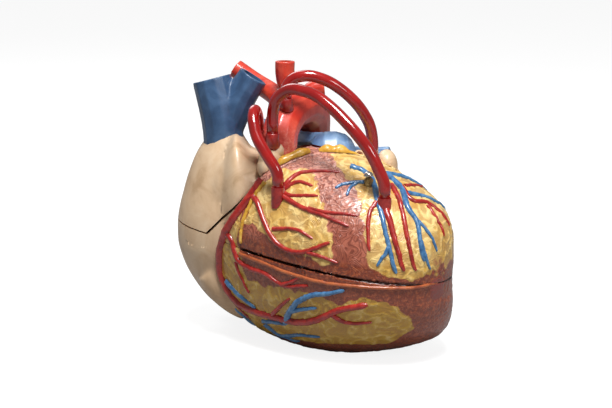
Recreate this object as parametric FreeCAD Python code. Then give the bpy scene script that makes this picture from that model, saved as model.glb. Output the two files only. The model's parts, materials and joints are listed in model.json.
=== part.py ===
"""Teaching model of the human heart, about twice life size, with bypass grafts.

Frame: +X to the heart's left side, +Y to its back, +Z up, origin on the flat foot
under the ventricles.  All lengths are in millimetres.
"""
import FreeCAD, Part
import math
import os

V = FreeCAD.Vector

# ---------------------------------------------------------------- driving sizes
# Ventricles: an egg on a slanting long axis, from the atria to the apex.
AXIS = V(0.74, -0.66, -0.10)
EGG_CENTRE = V(-18, 0, 72)
WIDEST = 18
REAR_LENGTH = 84
APEX_LENGTH = 112
HALF_WIDTH = 62
CROWN_HEIGHT = 67
BELLY_HEIGHT = 73.5
CROWN_POWER = 2.15
BELLY_POWER = 2.35
APEX_POWER = 2.3
FRONT_WALL_THICK = 8
LEFT_WALL_THICK = 12
REAR_WALL_THICK = 8
SEPTUM_THICK = 12
SEPTUM_POINT = V(35, -68, 115)
SEPTUM_NORMAL = V(0.888, 0.459, -0.3)

# Parting planes.
SEAM_HEIGHT = 65
SEAM_TILT = 0.03
WALL_CUT_POINT = V(-33, -43.5, 0)
WALL_CUT_NORMAL = V(0.296, -0.955, 0)
GROOVE_STATION = -12
GROOVE_LEAN = 0.35
WALL_GAP = 0.5
CAP_GAP = 0.8
CAP_SLIDE = V(-1, 0, 1) / math.sqrt(2)
CAP_RELIEF_STEPS = (0, 5, 10, 15)
SEPTUM_CLEARANCE = 0.3

# Atria.
RIGHT_ATRIUM_CENTRE = V(-53, 12, 70)
RIGHT_ATRIUM_RADII = V(46, 44, 65)
RIGHT_ATRIUM_LEAN = 14
SHOULDER_CENTRE = V(-50, -8, 98)
SHOULDER_RADII = V(24, 32, 36)
LEFT_ATRIUM_CENTRE = V(-4, 50, 84)
LEFT_ATRIUM_RADII = V(46, 32, 38)
ATRIUM_WALL = 6
RIGHT_AURICLE_LOBES = [(V(-33, -33, 131), V(8, 7, 9)), (V(-29, -31, 136), V(6, 6, 6)),
                       (V(-36, -33, 125), V(6, 7, 8))]
LEFT_AURICLE_LOBES = [(V(53, -5, 122), V(8, 11, 12)), (V(50, 6, 124), V(9, 10, 9)), (V(56, -8, 115), V(7, 8, 8))]

# Great vessels: centre line points with the outside radius at each.
VESSEL_WALL = 3
AORTA_LINE = [(V(-26, -20, 104), 13.5), (V(-27, -19, 128), 13), (V(-26, -15, 146), 13),
              (V(-20, -3, 157), 13.5), (V(-11, 13, 160), 14), (V(-5, 29, 153), 14),
              (V(-4, 38, 138), 13.5), (V(-4, 40, 118), 13)]
BRACHIOCEPHALIC_LINE = [(V(-19, 0, 158), 8), (V(-28, 18, 171), 7.5), (V(-41, 32, 182), 7.2),
                        (V(-53, 37, 190), 7.2)]
CAROTID_LINE = [(V(-15, 6, 162), 8), (V(-21, 7, 175), 7.2), (V(-23, 7, 184), 7.2), (V(-23, 7, 193), 7.4)]
SUBCLAVIAN_LINE = [(V(-9, 17, 162), 7.5), (V(-7, 18, 168), 6.8), (V(-2, 18, 172), 6.4), (V(5, 18, 173), 6.4)]
PULMONARY_ROOT = V(8, -8, 104)
PULMONARY_LINE = [(PULMONARY_ROOT, 16), (V(8, -8, 121), 16.5), (V(9, -4, 133), 16), (V(9, 5, 136), 13)]
RIGHT_PULMONARY_LINE = [(V(8, 5, 133), 10), (V(-8, 12, 133), 9.5), (V(-24, 26, 134), 9), (V(-36, 44, 136), 8.5),
                        (V(-42, 56, 137), 8.5)]
LEFT_PULMONARY_LINE = [(V(9, 1, 132), 12.5), (V(22, 2, 131), 11), (V(36, 4, 130), 8.5), (V(47, 3, 129), 7.5)]
CAVA_LINE = [(V(-66, 8, 112), 15.5), (V(-67, 8, 130), 14.5), (V(-68, 9, 148), 14.5), (V(-71, 12, 164), 13.8),
             (V(-76, 14, 180), 13.8)]
CAVA_BRANCH_LINE = [(V(-66, 10, 140), 10), (V(-60, 10, 156), 10.5), (V(-52, 10, 171), 10.3), (V(-43, 10, 188), 10)]
LOWER_CAVA_LINE = [(V(-64, 24, 40), 13), (V(-67, 36, 26), 13), (V(-70, 46, 14), 12.5)]
VEIN_RADIUS = 7
VEIN_BORE = 4.5
VEIN_BORE_DEPTH = 10
LUNG_VEINS = [(V(-18, 58, 98), V(-34, 80, 104)), (V(-16, 60, 72), V(-32, 82, 70)),
              (V(18, 60, 98), V(40, 78, 104)), (V(22, 58, 74), V(44, 74, 72))]

# Bypass grafts: soft tubes on nipples; the route runs from the aorta to the heart.
GRAFT_RADIUS = 4
GRAFT_BORE = 2.5
NIPPLE_GAP = 0.1
NIPPLE_LENGTH = 5
BOSS_RADIUS = 4.6
SEAT_HEIGHT = 0.6
TUBE_ROOM = 1
RIGHT_LANDING = V(-27, -60, 0)
FRONT_LANDING = V(43, -83, 0)
REAR_LANDING = V(38, -11, 0)
RIGHT_GRAFT = [V(-41, -30, 150), V(-41, -30, 160), V(-43, -36, 166), V(-44, -44, 160), V(-41.5, -51, 148.5),
               V(-34.5, -57, 137.5)]
FRONT_GRAFT = [V(-31, -36, 149), V(-31, -36, 162), V(-28.5, -40, 173.5), V(-19, -47, 181.5), V(-3, -57, 179),
               V(10, -67, 170), V(23, -77, 157.5), V(33.5, -82, 144.5)]
REAR_GRAFT = [V(-22, -18, 170), V(-22, -18, 178), V(-17, -19, 184.5), V(-6, -20, 186.5), V(7, -20, 182.5),
              V(19, -18, 174), V(29, -16, 163.5), V(36, -13, 151)]
RIGHT_BOSS = [(V(-28, -18, 134), 5), (V(-36, -26, 139), 4.8), (V(-41, -30, 145), 4.6), (V(-41, -30, 150), 4.6)]
FRONT_BOSS = [(V(-27, -17, 134), 5), (V(-30, -30, 138), 4.8), (V(-31, -36, 144), 4.6), (V(-31, -36, 149), 4.6)]
REAR_BOSS = [(V(-20, -8, 158), 5), (V(-21, -14, 162), 4.8), (V(-22, -18, 166), 4.6), (V(-22, -18, 170), 4.6)]

# Retaining pin of the front wall.
PIN_PLACE = V(33, -68, 0)
PIN_HEAD_RADIUS = 3.4
PIN_HEAD_HEIGHT = 3
PIN_STEM_RADIUS = 1.6
PIN_STAND = 6
PIN_DEPTH = 18
PIN_GAP = 0.08
FERRULE_RADIUS = 3.2
FERRULE_HEIGHT = 2

# Valves.
TRICUSPID_RADIUS = 17
MITRAL_RADIUS = 14
VALVE_WALL = 1.4
SEAT_RING = 2
LEAFLET_LENGTH = 17
LEAFLET_TAPER = 0.6
SLIT_WIDTH = 1.2
SLIT_START = 4
TRICUSPID_ASIDE = 24
MITRAL_ASIDE = 33
VALVE_DROP = 4
POCKET_RING = 3
AORTIC_ROOT = V(-26, -20, 110)
AORTIC_BORE = 10.5
PULMONARY_BORE = 13
INFUNDIBULUM = V(-6, -34, 96)
OUTFLOW_END = V(8, 8, 90)
OUTFLOW_RADIUS = 13
OUTFLOW_BORE = 9

# Muscles and cords inside the chambers.
MUSCLE_FOOT = 7
MUSCLE_TIP = 3.5
RIGHT_MUSCLES = [(V(-28, -54, 18), V(-22, -44, 44)), (V(-14, -68, 20), V(-13, -54, 45)),
                 (V(-42, -22, 12), V(-33, -26, 37))]
LEFT_MUSCLES = [(V(50, -20, 14), V(31, -3, 44)), (V(20, -22, 4), V(18, -5, 38))]
CORD_RADIUS = 0.7
BAND_START = V(10, -66, 42)
BAND_END = V(-14, -62, 34)
BAND_RADIUS = 3
TOP = 300

# Seam hardware.
DOWEL_RADIUS = 2
DOWEL_LENGTH = 8
DOWEL_GAP = 0.1
MAGNET_RADIUS = 3
MAGNET_THICK = 3
MAGNET_RECESS = 0.2
CAP_MAGNET_RADIUS = 2.2
CAP_MAGNET_ANGLES = (150, 215)
SEAM_STOPS = [(20, -30, 60, "dowel"), (58, -30, 60, "magnet"), (112, -30, 60, "dowel"), (104, 120, 210, "magnet")]

# Vessels in relief: radius at the start and the end, then places on the egg as
# the distance along its axis and the angle round it, 0 at the side and 90 at the crown.
RIGHT_CORONARY = [
    (3, 1.8, [(8, 44), (5, 31), (-5, 13), (-15, -2), (-18, -14), (-12, -26), (4, -33), (24, -32), (43, -31),
              (55, -31), (71, -27), (84, -20), (92, -17), (106, -14)]),
    (1.6, 0.9, [(84, -22), (93, -28), (107, -31)]),
    (2, 1.1, [(-12, 6), (-3, 3), (5, -4), (17, -6), (32, -6), (48, -9), (67, -6)]),
    (1.2, 0.8, [(3, -6), (9, -13), (16, -20)]),
    (1.3, 0.8, [(36, -29), (45, -21), (53, -15)]),
]
BASE_VEINS = [
    (1.8, 1.2, [(-10, -21), (5, -25), (20, -29)]),
    (1.9, 1, [(46, -33), (50, -26), (58, -17), (69, -11), (82, -8), (92, -5)]),
    (1.3, 0.8, [(54, -23), (63, -20), (73, -18)]),
    (1.4, 1, [(23, -39), (34, -36), (45, -35)]),
    (1.6, 0.9, [(24, -41), (33, -50), (53, -43), (70, -42)]),
]
REAR_ARTERIES = [
    (2.4, 1.6, [(45, 120), (30, 131), (16, 142), (4, 158), (-4, 174), (-10, 190)]),
    (1.6, 0.9, [(16, 142), (40, 150), (70, 157), (96, 164)]),
    (1.6, 0.9, [(-4, 187), (20, 189), (50, 187), (84, 184)]),
    (1.8, 1, [(-22, 228), (6, 228), (40, 228), (76, 222)]),
]
REAR_VEINS = [
    (3.6, 3.2, [(2, 168), (-7, 182), (-16, 200), (-22, 216), (-26, 232)]),
    (1.8, 1, [(-12, 200), (14, 202), (48, 202), (80, 198), (100, 193)]),
    (2, 1.1, [(-22, 222), (8, 221), (42, 219), (78, 213)]),
]
FRONT_ARTERIES = [
    (1.7, 1, [(28, 41), (32, 54), (40, 61), (57, 70)]),
    (1.5, 0.9, [(30, 42), (37, 50), (49, 51)]),
    (1.5, 0.9, [(31, 40), (39, 40), (57, 46)]),
    (1.8, 0.9, [(31, 38), (49, 35), (70, 35), (86, 35)]),
    (1.2, 0.8, [(55, 36), (69, 38), (88, 45)]),
    (2, 1.2, [(7, 32), (14, 29), (21, 23), (30, 16), (40, 10), (52, 8), (64, 11), (78, 20)]),
    (1.3, 0.8, [(64, 10), (75, 10), (86, 9)]),
    (1.3, 0.8, [(34, 17), (52, 21), (66, 19)]),
    (2.2, 1.2, [(95, 67), (106, 55), (116, 37), (122, 17)]),
    (1.8, 1.1, [(87, 87), (100, 79), (112, 64), (121, 45), (126, 23)]),
    (1.5, 1, [(92, 63), (93, 52), (98, 38), (103, 24)]),
    (1.8, 1, [(91, 92), (103, 90), (106, 103), (112, 114), (117, 126)]),
]
FRONT_VEINS = [
    (2.1, 1.2, [(58, 80), (68, 82), (80, 77), (93, 63), (101, 54), (112, 35), (119, 12)]),
    (1.4, 0.9, [(77, 73), (71, 67), (66, 61), (64, 56)]),
    (2.2, 1.2, [(76, 94), (94, 90), (106, 80), (115, 77), (122, 64), (127, 48)]),
    (1.7, 1, [(97, 91), (101, 104), (104, 120), (104, 134)]),
    (1.7, 1, [(76, 96), (80, 107), (84, 120), (84, 134)]),
]
LEFT_FAT = [(-30, -37, 3), (-24, -36, 3.6), (-16, -34, 3.8), (-8, -31, 3.2)]
RIGHT_FAT = [(2, -28, 3.2), (10, -26, 4), (18, -24, 3.8), (26, -21, 3)]

# ---------------------------------------------------------------- frame of the egg
AXIS.normalize()
SIDE = V(AXIS.y, -AXIS.x, 0)
SIDE.normalize()
RISE = SIDE.cross(AXIS)
GROOVE_NORMAL = AXIS - RISE * GROOVE_LEAN
GROOVE_NORMAL.normalize()
GROOVE_POINT = EGG_CENTRE + AXIS * GROOVE_STATION
SEAM_NORMAL = V(SEAM_TILT, 0, 1)
SEAM_NORMAL.normalize()
SEAM_POINT = V(0, 0, SEAM_HEIGHT)
SEPTUM_NORMAL.normalize()
WALL_CUT_NORMAL.normalize()
IN_GROOVE = GROOVE_NORMAL.cross(SIDE)
WORLD = 500
CRUMB = 2
UP = V(0, 0, 1)


def half_space(point, normal):
    """The half of space on the side that the normal points to."""
    block = Part.makeBox(WORLD, WORLD, WORLD, V(-WORLD / 2, -WORLD / 2, 0))
    block.Placement = FreeCAD.Placement(point, FreeCAD.Rotation(UP, normal))
    return block


def power(value, exponent):
    """A signed power, for superellipses."""
    return math.copysign(abs(value) ** exponent, value)


def egg_point(station, degrees, shrink=0):
    """A point on the egg: distance along the axis, and angle round it from the side."""
    length = (APEX_LENGTH if station > WIDEST else REAR_LENGTH) - shrink
    exponent = APEX_POWER if station > WIDEST else 2
    along = min(1, abs((station - WIDEST) / length))
    size = (1 - along ** exponent) ** (1 / exponent)
    cosine = math.cos(math.radians(degrees))
    sine = math.sin(math.radians(degrees))
    bulge = 2 / (CROWN_POWER if sine > 0 else BELLY_POWER)
    height = CROWN_HEIGHT if sine > 0 else BELLY_HEIGHT
    across = SIDE * ((HALF_WIDTH - shrink) * size * power(cosine, bulge))
    rise = RISE * ((height - shrink) * size * power(sine, bulge))
    return EGG_CENTRE + AXIS * station + across + rise


def egg(shrink=0):
    """The closed egg form, lofted through sections that crowd towards the apex."""
    rings = []
    rear = [(-64, -1), (-42, -1), (-20, -1)]
    front = [(0, 1), (16, 1), (32, 1), (47, 1), (61, 1), (73, 1), (82, 1)]
    for angle, way in rear + front:
        length = (APEX_LENGTH if way > 0 else REAR_LENGTH) - shrink
        exponent = APEX_POWER if way > 0 else 2
        along = abs(math.sin(math.radians(angle))) ** (2 / exponent)
        station = WIDEST + way * length * along
        points = [egg_point(station, turn, shrink) for turn in range(0, 360, 15)]
        curve = Part.BSplineCurve()
        curve.interpolate(Points=points, PeriodicFlag=True)
        rings.append(Part.Wire(curve.toShape()))
    rings.append(Part.Vertex(EGG_CENTRE + AXIS * (WIDEST + APEX_LENGTH - shrink)))
    return Part.makeLoft(rings, True, False)


def crown(x, y, shrink=0):
    """Height of the egg's top above a place on the table."""
    low = EGG_CENTRE.z
    high = EGG_CENTRE.z + CROWN_HEIGHT * 1.2
    for _ in range(40):
        middle = (low + high) / 2
        offset = V(x, y, middle) - EGG_CENTRE
        station = offset.dot(AXIS)
        length = (APEX_LENGTH if station > WIDEST else REAR_LENGTH) - shrink
        exponent = APEX_POWER if station > WIDEST else 2
        size = max(0.001, 1 - min(1, abs((station - WIDEST) / length)) ** exponent) ** (1 / exponent)
        across = abs(offset.dot(SIDE)) / ((HALF_WIDTH - shrink) * size)
        rise = max(0, offset.dot(RISE)) / ((CROWN_HEIGHT - shrink) * size)
        if across ** CROWN_POWER + rise ** CROWN_POWER > 1:
            high = middle
        else:
            low = middle
    return low


def ellipsoid(centre, radii, lean=0):
    """A ball stretched to three radii, leaned about Y."""
    matrix = FreeCAD.Matrix()
    matrix.scale(radii.x, radii.y, radii.z)
    ball = Part.makeSphere(1).transformGeometry(matrix)
    ball.rotate(V(0, 0, 0), V(0, 1, 0), -lean)
    ball.translate(centre)
    return ball


def ring(centre, direction, radius, across):
    """A circle square to a direction, its start turned to one side so that lofts don't twist."""
    wire = Part.Wire(Part.Circle(V(0, 0, 0), UP, radius).toShape())
    wire.Placement = FreeCAD.Placement(centre, FreeCAD.Rotation(across, V(0, 0, 0), direction, "ZXY"))
    return wire


def vessel(line, thinner=0):
    """A pipe that swells and narrows along its centre line."""
    rings = []
    last = len(line) - 1
    across = V(0, 1, 0)
    for index, (point, radius) in enumerate(line):
        direction = line[min(last, index + 1)][0] - line[max(0, index - 1)][0]
        direction.normalize()
        across = across - direction * across.dot(direction)
        across.normalize()
        rings.append(ring(point, direction, radius - thinner, across))
    return Part.makeLoft(rings, True, False)


def lengthened(line, amount):
    """The same centre line with both ends drawn out, so that a bore breaks through."""
    first = line[0][0] - line[1][0]
    final = line[-1][0] - line[-2][0]
    first.normalize()
    final.normalize()
    head = (line[0][0] + first * amount, line[0][1])
    tail = (line[-1][0] + final * amount, line[-1][1])
    return [head] + line[1:-1] + [tail]


def bent_path(points):
    """Straight runs joined by tangent arcs, each arc as large as its two runs allow."""
    edges = []
    start = points[0]
    for before, corner, after in zip(points, points[1:], points[2:]):
        incoming = corner - before
        outgoing = after - corner
        shorter = min(incoming.Length, outgoing.Length)
        incoming.normalize()
        outgoing.normalize()
        half_turn = incoming.getAngle(outgoing) / 2
        setback = 0.45 * shorter
        first = corner - incoming * setback
        last = corner + outgoing * setback
        radius = setback / math.tan(half_turn)
        inward = outgoing - incoming
        inward.normalize()
        middle = corner + inward * (radius / math.cos(half_turn) - radius)
        edges.append(Part.LineSegment(start, first).toShape())
        edges.append(Part.Arc(first, middle, last).toShape())
        start = last
    edges.append(Part.LineSegment(start, points[-1]).toShape())
    return Part.Wire(edges)


def hose(points, radius):
    """A round rod along a bent path."""
    direction = points[1] - points[0]
    profile = Part.Wire(Part.Circle(points[0], direction, radius).toShape())
    return bent_path(points).makePipeShell([profile], True, False)


def trimmed(solids, neighbours):
    """The solids with what their neighbours already fill cut away, and no crumbs left."""
    kept = []
    for solid in solids:
        for neighbour in neighbours:
            if solid.BoundBox.intersect(neighbour.BoundBox):
                solid = solid.cut(neighbour)
        kept.extend([piece for piece in solid.Solids if piece.Volume > CRUMB])
    return kept


def largest(shape):
    """The largest solid of a shape that a cut has divided."""
    return max(shape.Solids, key=lambda solid: solid.Volume)


def relief(routes, body):
    """Vessels in raised relief on the egg, cut flush where they sit on its wall."""
    solids = []
    for thick, thin, route in routes:
        points = [egg_point(station, degrees) for station, degrees in route]
        last = len(points) - 1
        rings = []
        for index, point in enumerate(points):
            direction = points[min(last, index + 1)] - points[max(0, index - 1)]
            direction.normalize()
            outward = point - EGG_CENTRE - AXIS * route[index][0]
            outward = outward - direction * outward.dot(direction)
            outward.normalize()
            radius = thick + (thin - thick) * index / last
            rings.append(ring(point, direction, radius, outward))
        solid = Part.makeLoft(rings, True, False).cut(body)
        solids.extend(trimmed(solid.Solids, solids))
    return solids


def drum(place, low, high, radius):
    """An upright cylinder between two heights."""
    return Part.makeCylinder(radius, high - low, V(place.x, place.y, low))


def drill(shape, place, low, high, radius):
    """The shape with an upright hole."""
    return shape.cut(drum(place, low, high, radius))


def seam_height(x):
    """Height of the parting plane."""
    return SEAM_HEIGHT - SEAM_TILT * x


def seam_place(station, near, far, inset):
    """A place in the middle of the wall where the seam crosses it, between two angles."""
    for _ in range(30):
        middle = (near + far) / 2
        point = egg_point(station, middle, inset)
        start = egg_point(station, near, inset)
        if (point.z > seam_height(point.x)) == (start.z > seam_height(start.x)):
            near = middle
        else:
            far = middle
    return point


def leaflet_valve(centre, direction, radius, leaflets):
    """A seat ring with a funnel of leaflets, slit between them."""
    turn = FreeCAD.Rotation(UP, direction)
    seat = Part.makeCylinder(radius + SEAT_RING, REAR_WALL_THICK).cut(Part.makeCylinder(radius, REAR_WALL_THICK))
    tip = radius * LEAFLET_TAPER
    funnel = Part.makeCone(radius + VALVE_WALL, tip + VALVE_WALL, LEAFLET_LENGTH)
    funnel = funnel.cut(Part.makeCone(radius, tip, LEAFLET_LENGTH))
    funnel.translate(V(0, 0, REAR_WALL_THICK))
    for index in range(leaflets):
        slit = Part.makeBox(radius * 2, SLIT_WIDTH, LEAFLET_LENGTH, V(0, -SLIT_WIDTH / 2, REAR_WALL_THICK + SLIT_START))
        slit.rotate(V(0, 0, 0), UP, 360 * index / leaflets + 30)
        funnel = funnel.cut(slit)
    valve = seat.fuse(funnel)
    valve.Placement = FreeCAD.Placement(centre, turn)
    return valve


def pocket_valve(centre, radius):
    """Three half-moon pockets hung in a ring."""
    valve = Part.makeCylinder(radius, POCKET_RING, centre).cut(
        Part.makeCylinder(radius - VALVE_WALL, POCKET_RING, centre))
    bore = Part.makeCylinder(radius, radius * 2, centre - UP * radius)
    pocket_radius = radius * 0.5
    for index in range(3):
        angle = math.radians(120 * index + 90)
        middle = centre + V(math.cos(angle), math.sin(angle), 0) * (radius * 0.48)
        pocket = Part.makeSphere(pocket_radius, middle).cut(Part.makeSphere(pocket_radius - VALVE_WALL, middle))
        pocket = pocket.cut(half_space(centre + UP * (POCKET_RING / 2), UP))
        valve = valve.fuse(pocket.common(bore))
    return valve


def muscle(foot, tip):
    """A papillary muscle: a blunt cone from the chamber wall."""
    direction = tip - foot
    cone = Part.makeCone(MUSCLE_FOOT, MUSCLE_TIP, direction.Length, foot, direction)
    return cone.fuse(Part.makeSphere(MUSCLE_TIP, tip))


def seat_top(landing):
    """Height that clears the egg all round a nipple's seat."""
    turns = [math.radians(turn) for turn in range(0, 360, 30)]
    ring_heights = [crown(landing.x + BOSS_RADIUS * math.cos(turn), landing.y + BOSS_RADIUS * math.sin(turn))
                    for turn in turns]
    return max(ring_heights) + SEAT_HEIGHT


def upright_end(route, landing):
    """The route with its last stretch standing upright on a landing on the egg."""
    end = V(landing.x, landing.y, seat_top(landing))
    return route + [end + UP * (NIPPLE_LENGTH * 2), end]


parts = {}

# ---------------------------------------------------------------- main forms
egg_full = egg()
egg_hollow = egg(FRONT_WALL_THICK)
egg_left = egg(LEFT_WALL_THICK)
above_seam = half_space(SEAM_POINT, SEAM_NORMAL)
in_front = half_space(WALL_CUT_POINT, WALL_CUT_NORMAL)
ahead_of_groove = half_space(GROOVE_POINT, GROOVE_NORMAL)
behind_groove = half_space(GROOVE_POINT, -GROOVE_NORMAL)
above_table = half_space(V(0, 0, 0), UP)
chamber_zone = half_space(GROOVE_POINT + GROOVE_NORMAL * REAR_WALL_THICK, GROOVE_NORMAL)
ventricles = egg_full.common(ahead_of_groove).common(above_table)
beyond_septum = half_space(SEPTUM_POINT + SEPTUM_NORMAL * (SEPTUM_THICK / 2), SEPTUM_NORMAL)
before_septum = half_space(SEPTUM_POINT - SEPTUM_NORMAL * (SEPTUM_THICK / 2), -SEPTUM_NORMAL)
outflow_ridge = vessel([(AORTIC_ROOT, OUTFLOW_RADIUS), (OUTFLOW_END, OUTFLOW_RADIUS)])
outflow_bore = vessel(lengthened([(AORTIC_ROOT, OUTFLOW_BORE), (OUTFLOW_END, OUTFLOW_BORE)], 4))
right_chamber = egg_hollow.common(chamber_zone).common(before_septum).cut(outflow_ridge)
left_chamber = egg_left.common(chamber_zone).common(beyond_septum).cut(outflow_ridge)
standing_septum = egg(FRONT_WALL_THICK + SEPTUM_CLEARANCE).cut(beyond_septum).cut(before_septum)

# ---------------------------------------------------------------- front wall and ventricle base
wall_zone = above_seam.common(in_front)
lid_zone = above_seam.common(half_space(WALL_CUT_POINT + WALL_CUT_NORMAL * WALL_GAP, WALL_CUT_NORMAL))
front_wall = egg_full.common(lid_zone).cut(egg_hollow)
base = ventricles.cut(right_chamber).cut(left_chamber).cut(wall_zone.cut(standing_septum))
base = base.cut(outflow_bore)
base = drill(base, PULMONARY_ROOT, PULMONARY_ROOT.z, TOP, PULMONARY_BORE)
base = base.cut(vessel([(PULMONARY_ROOT + UP * 12, PULMONARY_BORE), (INFUNDIBULUM, PULMONARY_BORE)]))
base = drill(base, AORTIC_ROOT, AORTIC_ROOT.z, TOP, AORTIC_BORE)

# ---------------------------------------------------------------- valves of the atria
tricuspid_centre = GROOVE_POINT + SIDE * TRICUSPID_ASIDE - IN_GROOVE * VALVE_DROP
mitral_centre = GROOVE_POINT - SIDE * MITRAL_ASIDE - IN_GROOVE * VALVE_DROP
for name, centre, radius, leaflets in (("tricuspid_valve", tricuspid_centre, TRICUSPID_RADIUS, 3),
                                       ("mitral_valve", mitral_centre, MITRAL_RADIUS, 2)):
    base = base.cut(Part.makeCylinder(radius + SEAT_RING, REAR_WALL_THICK, centre, GROOVE_NORMAL))
    parts[name] = leaflet_valve(centre, GROOVE_NORMAL, radius, leaflets)

# ---------------------------------------------------------------- atria
def right_atrium_form(grow):
    """The right atrium: a leaning sac with a shoulder towards the aorta."""
    more = V(grow, grow, grow)
    sac = ellipsoid(RIGHT_ATRIUM_CENTRE, RIGHT_ATRIUM_RADII + more, RIGHT_ATRIUM_LEAN)
    return sac.fuse(ellipsoid(SHOULDER_CENTRE, SHOULDER_RADII + more))


right_atrium = right_atrium_form(0)
right_hollow = right_atrium_form(-ATRIUM_WALL)
right_keep_out = right_atrium_form(CAP_GAP)
aorta_keep_out = vessel(AORTA_LINE, -CAP_GAP).fuse(
    drum(AORTIC_ROOT, SEAM_HEIGHT - 10, AORTIC_ROOT.z + 10, AORTA_LINE[0][1] + CAP_GAP))
cap_zone = half_space(GROOVE_POINT - GROOVE_NORMAL * CAP_GAP, -GROOVE_NORMAL).common(above_seam)
lower_cava_bore = vessel(lengthened(LOWER_CAVA_LINE, 2), VESSEL_WALL)
atrium_base = right_atrium.common(behind_groove).cut(above_seam)
atrium_base = atrium_base.cut(right_hollow).common(above_table).cut(lower_cava_bore)
parts["inferior_vena_cava"] = vessel(LOWER_CAVA_LINE).cut(lower_cava_bore).cut(right_atrium).cut(egg_full)
cava = vessel(CAVA_LINE).fuse(vessel(CAVA_BRANCH_LINE))
cava_bore = vessel(lengthened(CAVA_LINE, 2), VESSEL_WALL).fuse(
    vessel(lengthened(CAVA_BRANCH_LINE, 2), VESSEL_WALL))
parts["superior_vena_cava"] = cava.cut(right_atrium).cut(cava_bore)
atrium_cap = right_atrium.common(cap_zone).cut(right_hollow).cut(cava_bore)
for travel in CAP_RELIEF_STEPS:
    atrium_cap = atrium_cap.cut(aorta_keep_out.translated(CAP_SLIDE * -travel))
atrium_cap = largest(atrium_cap)

# ---------------------------------------------------------------- great arteries
aorta_outside = vessel(AORTA_LINE)
aorta_bore = vessel(lengthened(AORTA_LINE, 3), VESSEL_WALL)
for line in (BRACHIOCEPHALIC_LINE, CAROTID_LINE, SUBCLAVIAN_LINE):
    aorta_outside = aorta_outside.fuse(vessel(line))
    aorta_bore = aorta_bore.fuse(vessel(lengthened(line, 3), VESSEL_WALL))
pulmonary_outside = vessel(PULMONARY_LINE)
pulmonary_bore = vessel(PULMONARY_LINE, VESSEL_WALL)
for line in (RIGHT_PULMONARY_LINE, LEFT_PULMONARY_LINE):
    pulmonary_outside = pulmonary_outside.fuse(vessel(line))
    pulmonary_bore = pulmonary_bore.fuse(vessel(line[:1] + lengthened(line, 3)[1:], VESSEL_WALL))
aorta_bore = aorta_bore.fuse(drum(AORTIC_ROOT, AORTIC_ROOT.z - 10, AORTIC_ROOT.z + 20, AORTIC_BORE))
parts["aorta"] = aorta_outside.cut(aorta_bore).cut(ventricles)
bosses = vessel(RIGHT_BOSS).fuse([vessel(FRONT_BOSS), vessel(REAR_BOSS)]).cut(aorta_outside)
for boss in (RIGHT_BOSS, FRONT_BOSS, REAR_BOSS):
    top = boss[-1][0]
    bosses = bosses.fuse(drum(top, top.z, top.z + NIPPLE_LENGTH, GRAFT_BORE - NIPPLE_GAP))
parts["aortic_graft_bosses"] = bosses
parts["pulmonary_trunk"] = pulmonary_outside.cut(pulmonary_bore).cut(ventricles).cut(aorta_outside)
parts["pulmonary_valve"] = pocket_valve(PULMONARY_ROOT + UP * 14, PULMONARY_BORE)
parts["aortic_valve"] = pocket_valve(AORTIC_ROOT + UP * 12, AORTIC_BORE)

# ---------------------------------------------------------------- left atrium and the auricles
left_atrium = ellipsoid(LEFT_ATRIUM_CENTRE, LEFT_ATRIUM_RADII).common(behind_groove).cut(right_keep_out)
left_atrium = left_atrium.cut(aorta_outside).cut(pulmonary_outside)
stubs = []
for inner, outer in LUNG_VEINS:
    direction = outer - inner
    stub = Part.makeCylinder(VEIN_RADIUS, direction.Length, inner, direction)
    direction.normalize()
    bore = Part.makeCylinder(VEIN_BORE, VEIN_BORE_DEPTH, outer - direction * VEIN_BORE_DEPTH, direction)
    stubs.append(largest(stub.cut(bore).cut(left_atrium)))
parts["pulmonary_veins"] = Part.makeCompound(stubs)
parts["left_atrium"] = left_atrium
for name, lobes in (("right_auricle", RIGHT_AURICLE_LOBES), ("left_auricle", LEFT_AURICLE_LOBES)):
    pieces = []
    for lobe in lobes:
        form = ellipsoid(*lobe)
        for neighbour in (ventricles, in_front, right_keep_out, aorta_outside, pulmonary_outside, bosses):
            form = form.cut(neighbour)
        pieces.append(largest(form))
    parts[name] = pieces[0].fuse(pieces[1:])

# ---------------------------------------------------------------- muscles and cords of the chambers
right_muscles = [muscle(foot, tip) for foot, tip in RIGHT_MUSCLES]
left_muscles = [muscle(foot, tip) for foot, tip in LEFT_MUSCLES]
cords = []
for tips, centre, radius in ((RIGHT_MUSCLES, tricuspid_centre, TRICUSPID_RADIUS),
                             (LEFT_MUSCLES, mitral_centre, MITRAL_RADIUS)):
    edge = centre + GROOVE_NORMAL * (REAR_WALL_THICK + LEAFLET_LENGTH - 1)
    reach = radius * LEAFLET_TAPER + VALVE_WALL / 2
    for order, (foot, tip) in enumerate(tips):
        for spread in (-18, 0, 18):
            angle = math.radians(90 + 360 * order / len(tips) + spread)
            end = edge + SIDE * (reach * math.cos(angle)) + IN_GROOVE * (reach * math.sin(angle))
            run = end - tip
            cords.append(Part.makeCylinder(CORD_RADIUS, run.Length, tip, run))
right_muscles = [largest(form.cut(base)) for form in right_muscles]
left_muscles = [largest(form.cut(base)) for form in left_muscles]
parts["right_papillary_muscles"] = Part.makeCompound(right_muscles)
parts["left_papillary_muscles"] = Part.makeCompound(left_muscles)
holders = right_muscles + left_muscles + [parts["tricuspid_valve"], parts["mitral_valve"], base]
parts["tendinous_cords"] = Part.makeCompound([largest(cord.cut(holders)) for cord in cords])
band_run = BAND_END - BAND_START
band = Part.makeCylinder(BAND_RADIUS, band_run.Length, BAND_START, band_run)
parts["moderator_band"] = largest(band.cut(base).cut(right_muscles))

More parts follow.
